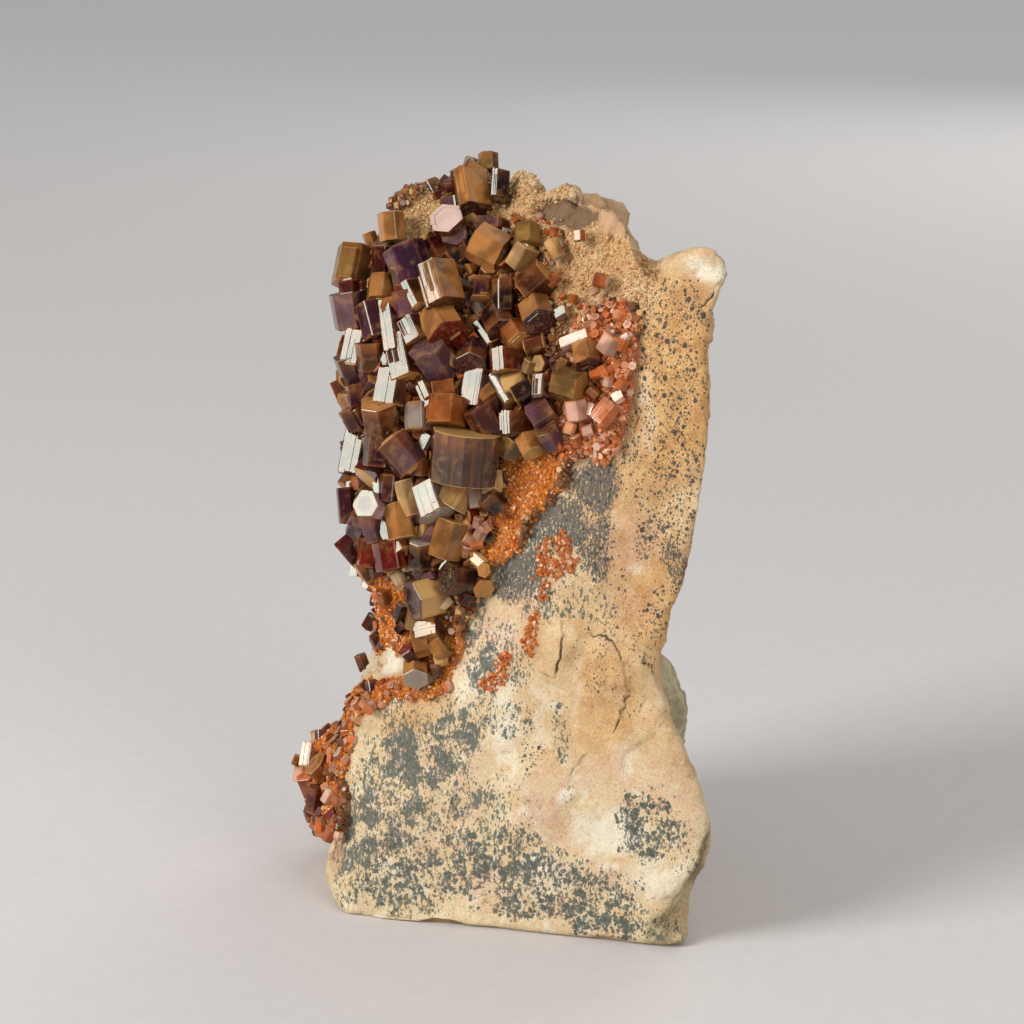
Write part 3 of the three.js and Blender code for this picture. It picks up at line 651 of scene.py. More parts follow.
# %% Colour zones on the sheet
ZONES = {
    "ochre": [
        (20, 66, 8, 19, -8, 1), (18, 42, 8, 15, 10, 0.9), (11.5, 27, 6, 10, -10, 0.85),
        (22, 22, 5, 8, 20, 0.5), (5, 33, 5, 6, 0, 0.5), (-13, 24.5, 5.5, 2.2, 18, 0.75),
        (12, 50, 6, 10, 15, 0.75), (16.5, 22.5, 5, 4, 0, 0.5), (5, 21, 4, 3, 0, 0.3),
        (0, 84, 25, 12, 0, 0.9), (16, 58, 6, 14, 0, 0.8), (3, 26, 3, 5, 0, 0.3), (10, 38, 6, 6, 0, 0.6),
    ],
    "pink": [
        (-1, 35, 4, 7, -25, 0.45), (14, 46, 4.5, 5, 30, 0.5), (4.5, 13.5, 5, 4.5, 0, 0.6),
        (20, 15, 4, 7, 10, 0.4), (15.5, 13.5, 5, 2.6, -10, 0.4), (-9, 9, 5, 2, 30, 0.5),
        (-14, 19, 3.4, 2.6, 0, 0.6), (12, 4, 3, 1.6, 0, 0.5), (15, 38.5, 3, 3, 0, 0.4),
        (-6.3, 31.5, 1.6, 2, 0, 0.4), (7, 4, 1.3, 4, 5, 0.6), (-16, 11, 4, 6, 0, 0.5),
        (-8, 18, 6, 5, 0, 0.45), (-2, 4, 6, 3, 0, 0.4), (12, 17, 5, 3, 0, 0.4),
    ],
    "cream": [
        (24.6, 80.4, 3.6, 1.7, -15, 1), (12.5, 10, 5, 3, 0, 0.9), (17, 62, 1, 6, 3, 0.3),
        (-1, 23, 2.5, 4, 0, 0.6), (-16, 31.5, 3, 2.3, 25, 1), (6.9, 14.4, 1.4, 1, 20, 1),
        (15.5, 43, 1, 1.1, 0, 0.5), (4, 4.5, 4, 3.5, 0, 0.5), (8, 28, 0.5, 6, -3, 0.35),
        (-5, 29, 1.4, 5, -25, 0.6), (18, 4, 4, 3, 0, 0.7),
    ],
    "grey": [
        (10.3, 53.4, 4.2, 4.8, -20, 1), (5.5, 47.5, 6.2, 4.6, 40, 1), (1.4, 42.4, 4.2, 3.6, 20, 1),
        (10.8, 46, 2.8, 6, -8, 0.9), (-0.6, 40.8, 2.8, 2.4, 0, 0.95), (3.4, 40.4, 3.4, 2, 10, 0.8),
        (20.8, 43.5, 2.4, 4.4, 15, 0.85), (13, 57.2, 1.6, 2.6, 0, 0.7), (21.5, 36, 1.4, 2, 0, 0.6),
        (-5, 34.5, 1.2, 2.6, -12, 0.6),
    ],
    "tufts": [
        (-12, 19, 8, 7, 10, 1), (-6.5, 23, 5.4, 4.6, 35, 1), (-3.2, 27, 2, 5.4, -25, 1),
        (-15.5, 26.8, 3.4, 2, 0, 0.9), (-5.2, 36.5, 1.8, 5, -12, 1), (-16, 12, 7, 8, 20, 0.95),
        (-7, 12, 8, 6.5, 0, 0.8), (-1, 7.2, 8, 5.4, -15, 0.8), (-11, 5.6, 9, 5, -5, 0.82),
        (6, 5.5, 4.4, 3.2, -30, 0.75), (11.4, 0.8, 7, 5, -20, 0.9), (17.2, 10.5, 4.8, 5.4, -30, 0.8),
        (6, 22, 1.6, 4, 12, 0.85), (0.8, 23.8, 2.6, 2.8, 0, 0.75), (1, 31, 1.9, 3.4, 0, 0.7),
        (20, 23.5, 1.8, 1.4, 0, 0.35), (-3.7, 30.5, 2.2, 4.4, -18, 1), (-1.5, 34.5, 2.4, 3, 0, 0.6),
        (21.6, 7, 2.4, 3.4, 0, 0.5), (7.3, 13.8, 1.2, 2.4, 0, 0.4), (16.7, 46.7, 2, 2.6, 0, 0.6),
        (-14, 2, 9, 3, 0, 0.75), (2, 1, 7, 2.2, 0, 0.75), (-20, 7, 4, 6, 0, 0.9),
        (18.7, -1.6, 2.8, 2.2, 0, 0.7), (14.2, 26, 2.4, 3.6, 0, 0.4), (11, 30, 4, 5, 0, 0.3),
        (3, 38, 3.4, 2.8, 0, 0.7), (17.5, 33.5, 3, 3.6, 0, 0.5), (12, 38, 4.4, 5, 0, 0.42),
        (8, 40, 3.6, 4.6, 0, 0.55), (-3, 31, 2.4, 3, 0, 0.55), (0, 14, 4, 4, 0, 0.35),
        (14, 60, 3, 5, 0, 0.5),
    ],
    "dots": [
        (20.5, 74, 4.6, 6, -15, 1), (17.3, 73, 3, 8, 0, 1), (21.3, 64, 4, 7, -10, 0.95),
        (20.3, 55, 4.2, 7, -5, 1), (20.2, 49, 3.6, 5, 0, 1), (17.5, 62, 3, 10, 0, 0.75),
        (21.5, 67.5, 2, 2, 0, 1), (15.5, 57, 2.4, 7, 0, 0.7), (17, 49, 2, 3.4, 0, 0.7),
        (12, 33, 6, 8, 0, 0.35), (17, 26, 6, 6, 0, 0.25), (2.6, 20.5, 1.6, 4, 0, 0.7),
        (19, 38, 4, 4, 0, 0.7), (12, 44, 4, 6, 0, 0.4),
    ],
    "stars": [
        (-1, 4, 9, 7, 0, 1), (17.5, 10.5, 5, 6, -20, 1), (9, 1, 8, 5, 0, 1), (-14, 5, 6, 6, 0, 0.7),
    ],
    "rust": [
        (-18, 35, 3, 2, 30, 0.9), (-10.5, 27.5, 3, 1.5, -20, 0.8), (-4, 37.5, 0.9, 5, -18, 0.5),
        (-15.6, 28.6, 4.4, 1.4, 12, 0.7), (-19.6, 25, 1.4, 4, -14, 0.9), (-21.4, 14, 1.2, 11, 0, 0.75),
        (-1, 29.5, 1.2, 2.4, -20, 0.5), (3, 34, 1, 2.6, 0, 0.4), (4.6, 42, 1.3, 4, -10, 0.4),
        (0, 38.6, 2.6, 0.9, 0, 0.5), (-22.6, 7, 0.9, 3, 0, 0.85), (-3.4, 26.4, 1.2, 1.2, 0, 0.4),
        (-0.5, 20, 0.5, 0.5, 0, 0.4), (20, 17.8, 0.6, 0.8, 0, 0.6),
    ],
}
CLOSE_ZONES = ("cream", "dots", "rust")
LOOSE_WARP = 1.5
CLOSE_WARP = 0.7
print(sum(map(len, ZONES.values())), "ovals in", len(ZONES), "zones")

# %% Paint the stone
sheet = on_sheet(points)
warp = drift(points, 3.2, 11, 12)
for name, rows in ZONES.items():
    where = sheet + warp * (CLOSE_WARP if name in CLOSE_ZONES else LOOSE_WARP)
    paint(stone.data, name, shown * (1 - bulge) * patches(where, rows))
paint(stone.data, "broken", broken)
paint(stone.data, "hidden", 1 - shown)
print("painted:", ", ".join(a.name for a in stone.data.attributes if not a.is_internal))

# %% [markdown]
# ## The stone's finish
#
# Each kind of stain is a cell pattern: a cell's middle is a dark spot whose size follows the painted
# density, and noise frays its outline. The tufts add stars with frayed arms, which lie flat in the
# bedding plane, and short leaning strokes. Grain, pits and a chalky roughness come from noise. The
# bump stays within a few tenths of a millimetre, because all larger relief is real mesh.


# %% Stone finish
VECTOR = "ShaderNodeVectorMath"


def squeezed(place, squeeze=0.45):
    """Coordinates in which round noise comes out as upright strokes that lean a little."""
    inputs = {"Vector": place, "Rotation": (0, -0.4, 0), "Scale": (1, 1, squeeze)}
    return node("ShaderNodeMapping", inputs)


def cell_pattern(place, size, **settings):
    """A cell pattern: the distance to each cell's middle, two random numbers and the middle."""
    cells = node("ShaderNodeTexVoronoi", {"Vector": place, "Scale": 1 / size}, "Distance", **settings)
    luck = node("ShaderNodeSeparateColor", {"Color": cells.also("Color")})
    return cells, luck, luck.also("Green"), cells.also("Position")


def stained(body, place, density, size, fray, warp, long, code, strength=0.88):
    """Lays frayed spots over a colour, as many as the density asks for."""
    push = maths("SUBTRACT", speckle(place, fray, 3, output="Color"), (0.5, 0.5, 0.5), kind=VECTOR)
    moved = maths("MULTIPLY_ADD", push, (warp,) * 3, place, kind=VECTOR)
    distance, luck, other, _ = cell_pattern(squeezed(moved, 1 / long), size)
    radius = step(density * 1.4 + luck, 0.95, 1.25) * (other * 0.3 + 0.28)
    return mix(step(radius - distance, -0.02, 0.08, strength), body, code)


def starred(body, place, density, size, code):
    """Lays dendrites with six frayed arms over a colour, flat in the bedding plane."""
    parts = node("ShaderNodeSeparateXYZ", {"Vector": place})
    bedding = node("ShaderNodeCombineXYZ", {"X": parts, "Y": parts.also("Z")})
    distance, luck, other, middle = cell_pattern(bedding, size, voronoi_dimensions="2D")
    ways = node("ShaderNodeSeparateXYZ", {"Vector": maths("SUBTRACT", bedding, middle, kind=VECTOR)})
    arms = maths("SINE", maths("ARCTAN2", ways.also("Y"), ways) * 6 + luck * 20)
    fray = speckle(place, 0.22, rough=0.7) - 0.5
    reach = step(density * 1.2 + luck, 0.95, 1.2) * (other * 0.3 + 0.22 + (arms * 0.09 + fray * 0.9))
    return mix(step(reach - distance, -0.03, 0.05, 0.86), body, code)


def stone_finish():
    finish, tree, shader = new_finish("matrix_stone")
    place = in_millimetres(tree)
    zone = {name: attribute(tree, name) for name in
            (*ZONES, "crack", "bevel", "bevel_shade", "shaded", "block", "bulge", "hidden", "broken")}
    hidden = zone["hidden"]
    broad = speckle(place, 9, 3)
    mottle = speckle(place, 2.2, 4, 0.6)
    grain = speckle(place, 0.35, 3, 0.7)
    fine_grain = speckle(place, 0.24, 3, 0.8)

    # the stone itself, from pale to ochre, with peach and straw-coloured clouds
    body = mix(step(mottle, 0.35, 0.65), "d6be94", "e2cfa8")
    for size, rough, low, high, most, code in (
        (4, 0.65, 0.5, 0.62, 0.6, "dbb489"), (1.5, 0.65, 0.54, 0.6, 0.5, "d8ae78"),
        (1.1, 0.7, 0.58, 0.63, 0.45, "cb9c84"), (2.9, 0.6, 0.44, 0.38, 0.5, "efe6cf"),
    ):
        body = mix(step(speckle(place, size, 5, rough), low, high, most), body, code)
    ochre_share = maths("MULTIPLY", zone["ochre"] + hidden * 0.6, step(broad, 0.25, 0.55, 1, 0.55),
                        use_clamp=True)
    body = mix(ochre_share, body, mix(step(mottle, 0.3, 0.7), "b98348", "d3a564"))
    body = mix(zone["pink"] * step(mottle, 0.36, 0.56), body, "cc9a80")
    body = mix(zone["cream"] * step(mottle, 0.3, 0.5), body, "eadfc6")
    for noise_there, low, high, most, code in (
        (fine_grain, 0.53, 0.66, 0.5, "957048"), (fine_grain, 0.46, 0.34, 0.4, "efe2c6"),
        (grain, 0.58, 0.7, 0.45, "a3855c"), (grain, 0.4, 0.28, 0.5, "f1e4ca"),
    ):
        body = mix(step(noise_there, low, high, most), body, code)

    # rust that has run from the crystals
    rust_share = maths("MULTIPLY", zone["rust"], step(mottle, 0.36, 0.54), use_clamp=True)
    body = mix(rust_share, body, mix(grain, "8e4a1e", "c07a38"))

    # on the hidden sides, layers and grey-green weathering in broad patches
    squashed = node("ShaderNodeMapping",
                    {"Vector": place, "Rotation": (0.1, 0.25, 0), "Scale": (0.1, 0.1, 0.6)})
    layers = speckle(squashed, 1, 5)
    body = mix(hidden * step(layers, 0.5, 0.62, 0.6), body, "e0cba4")
    body = mix(hidden * step(layers, 0.45, 0.36, 0.6), body, "9c7048")
    lichen = hidden * step(speckle(place, 13, 5, 0.6), 0.53, 0.62, 0.7)
    body = mix(lichen, body, mix(mottle, "7f7b66", "b3ab90"))

    # painted shade on the recessed face near the top; the block beside it; the bevel at the foot, with
    # painted shade on its upper part; and the bulge
    flaky = step(speckle(place, 0.6, 4, 0.7), 0.42, 0.58)
    # painted shade: the bevel is dark olive on its upper part, and beige stone with flaky grain below
    shaded_bevel = mix(zone["bevel_shade"], mix(flaky, "8f7c58", "c2ae84"), mix(flaky, "3b3320", "84734c"))
    # painted shade: the recessed face near the top is painted dark brown
    body = mix(step(zone["shaded"], 0.1, 0.6, 0.9), body, mix(mottle, "523a28", "8c6e52"))
    body = mix(zone["block"] * 0.8, body, mix(mottle, "b08664", "c8a284"))
    body = mix(zone["bevel"] * 0.85, body, shaded_bevel)
    body = mix(zone["bulge"] * 0.8, body, mix(step(mottle, 0.35, 0.65), "8c8468", "b9b08e"))

    # manganese: ferny tufts over a thin grey wash
    clumps = step(speckle(place, 2.2, 3, 0.6), 0.4, 0.58, 1, 0.55)
    ferny = zone["tufts"] * clumps
    body = mix(step(ferny, 0.6, 1) * step(mottle, 0.4, 0.6, 0.6, 0.1), body, "85867a")
    starry = ferny * zone["stars"]
    body = starred(body, place, starry * 0.62, 1, "444a46")
    body = starred(body, place, starry * 0.85, 0.62, "464b47")
    body = stained(body, place, ferny * 0.6, 0.42, 0.2, 0.4, 1.6, "4a5049", 0.82)
    body = stained(body, place, ferny * 0.75, 0.27, 0.2, 0.3, 1.5, "545a52", 0.78)
    strokes = speckle(squeezed(place), 0.42, 3, 0.65) + ferny * 0.3
    body = mix(step(strokes, 0.7, 0.75, 0.82), body, "535a4f")

    # the grey sheet, round dots in three sizes, and painted shade in the cracks
    flecks = speckle(squeezed(place), 0.26, 4, 0.8) + zone["grey"] * 0.38
    body = mix(step(flecks, 0.77, 0.82, 0.92), body, mix(grain, "3a3b38", "5e5d57"))
    body = stained(body, place, zone["grey"] * 0.36, 0.4, 0.3, 0.2, 1.4, "3c3e3c")
    body = stained(body, place, zone["dots"] * 0.27, 0.68, 0.4, 0.2, 1.1, "363735", 0.92)
    body = stained(body, place, zone["dots"] * 0.42, 0.42, 0.4, 0.15, 1.1, "42423c")
    body = stained(body, place, zone["dots"] * 0.46, 0.27, 0.4, 0.1, 1.1, "4a4840")
    # painted shade: the cracks are painted dark brown
    body = mix(step(zone["crack"], 0.12, 0.5, 0.85), body, "3e2e20")

    feed(shader, {"Base Color": body, "Roughness": 0.82})
    pits = speckle(place, 0.45, 5, 0.75) + mottle * 1.6
    bumped(shader, pits * (zone["broken"] * 0.16 + 0.13))
    return finish


dress(stone, stone_finish(), rounded=True)
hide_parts("matrix")
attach(stone, "root")
print("stone finished")

# %% [markdown]
# ## Zones of the crust
#
# Grain size and colour tell the crust's zones apart: brown sugar between the large crystals, tan
# sugar towards the skyline, a fine orange druse in a strip along the lower right edge and on the
# slope to the spur, and a field of small red crystals at the right.

# %% Zone outlines on the sheet
ORANGE_STRIP = [
    (-1.4, 57.5), (0.2, 54.2), (-0.4, 51.2), (-1.7, 50), (-2.8, 46.6), (-3.6, 43.4), (-1.6, 43.6),
    (0.4, 45), (2.4, 49.2), (5.9, 53), (7, 58),
]
RED_FIELD = [
    (8.6, 74.5), (10.5, 74.8), (15.4, 76.6), (16.2, 68), (15.4, 61), (14, 57), (13.6, 52.5), (10.6, 54.5),
    (9.6, 57), (5.5, 57), (4, 60), (6.6, 66),
]
LOWER_RUST = [
    (-27, 44), (-16.5, 43), (-13, 41), (-7.5, 37), (-5, 34), (-7, 27), (-19, 24), (-24, 3), (-34, 3),
    (-34, 40),
]
TAN_RIGHT = [
    (-2, 93), (2, 95), (9, 95), (10, 89.8), (4.4, 89.4), (3, 87), (4.6, 87.2), (7.2, 86.4), (9.8, 85),
    (12.5, 84), (15, 83.4), (20, 81.5), (20, 79), (15.5, 76.5), (11, 75.4), (8, 73), (5.4, 76), (3.5, 79),
    (1, 81.2), (2.5, 83.3), (0, 86), (-3, 86.3), (-5, 88),
]
TAN_LEFT = [(-16, 84), (-9.5, 91), (-8, 88), (-7.5, 83), (-11, 80.5), (-14, 81)]
BARE_SPOTS = [(-15.2, 30.8, 2.9, 1.9, 10, 1), (-10.4, 29.4, 1.2, 1, 0, 0.8)]
ZONE_EDGE = 0.8


def zone_of(sheet, outline):
    return soft(inside(sheet, outline), -ZONE_EDGE, ZONE_EDGE)


points = points_of(stone.data)
sheet = on_sheet(points) + drift(points, 2, 31, 32) + 0.5 * drift(points, 0.9, 33, 34)
facing = facing_eye(normals_of(stone.data), -0.2, 0.1)
orange = np.maximum(zone_of(sheet, ORANGE_STRIP) * facing, zone_of(sheet, LOWER_RUST))
red = zone_of(sheet, RED_FIELD) * facing
tan = np.maximum(zone_of(sheet, TAN_RIGHT), zone_of(sheet, TAN_LEFT)) * facing
for name, values in (("orange", orange), ("red", red), ("tan", tan)):
    paint(stone.data, name, values)
print("zones painted on", len(points), "points")

# %% [markdown]
# ## Where the crust lies
#
# The crystals don't stand on bare stone: a bed of fine, sugary crystals coats it first, thin on
# the show face and thicker round the left side. The bed follows the stone, so it is a copy of the
# stone's own cells, pushed out along their normals wherever the solid crust covers them. A search
# tree tells how far each point of the stone is from that solid.

# %% Bed of the crust
BED = (1.0, 1.8)
GROUND = (1.3, 2.1)
THICK_LEFT = (5, 13)
THICK_ABOVE = (36, 46)
UNDER_STONE = -0.7
BARE_BELOW = 0.12
EASING_ROUNDS = 5
FAR = 3 * MM

crust_solid = merged_copy("vanadinite_crust")
crust_faces = [p.vertices[:] for p in crust_solid.polygons]
crust_tree = BVHTree.FromPolygons(points_of(crust_solid).tolist(), crust_faces)


def thickness_at(points, thin, thick):
    """A thickness in millimetres that grows to the left, above the lower slope."""
    left = -(points[:, 0] / MM - MIDDLE_ACROSS)
    return thin + (thick - thin) * (soft(left, *THICK_LEFT) * soft(points[:, 2] / MM, *THICK_ABOVE))


gaps = np.array([crust_tree.find_nearest(p, FAR)[3] or FAR for p in points.tolist()])
covered = eased(stone.data, 1 - soft(gaps / MM, 0.75, 1.3), EASING_ROUNDS)
frayed = 0.22 * wander(points, 1.8, 24) + 0.16 * wander(points, 0.8, 25)
covered = np.clip(covered + frayed * (1 + orange) * (covered < 0.98), 0, 1) * (covered > 0.02)
covered *= 1 - patches(sheet, BARE_SPOTS)
covered *= 1 - np.maximum(painted(stone.data, "shaded"), painted(stone.data, "block"))
paint(stone.data, "covered", covered)
paint(stone.data, "solid_bed", soft(covered, 0.4, 0.6))

bed = new_object("crystal_bed", stone.data.copy())
lumps = 0.5 * wander(points, 3, 21) + 0.3 * wander(points, 1.2, 22) + 0.12 * wander(points, 0.6, 23)
sugar_depth = (thickness_at(points, *BED) + lumps) * (1 - 0.62 * orange) * (1 - 0.35 * tan)
thickness = UNDER_STONE + (sugar_depth - UNDER_STONE) * soft(covered, 0.2, 0.75)
move_points(bed.data, points + normals_of(stone.data) * (thickness * MM)[:, None])

bm = bmesh.new()
bm.from_mesh(bed.data)
bare = [f for f in bm.faces if max(covered[v.index] for v in f.verts) < BARE_BELOW]
bmesh.ops.delete(bm, geom=bare, context="FACES")
bm.to_mesh(bed.data)
bm.free()
print("bed:", len(bed.data.polygons), "faces")

# %% [markdown]
# ## Large crystals, one by one
#
# Every crystal that can be told apart has its own row in this list: where it stands on the
# sheet, its width over the corners and its length in millimetres, the lean of its axis on the
# sheet, its tilt toward the eye, its roll, and the tones of its sides and its ends. `SIDE` tips
# the axis until a side face looks at the gleam, halfway between eye and softbox, and `END` points
# the whole axis there. With `SIDE`, a roll of 0 shows a broad face and 1 a narrow one.

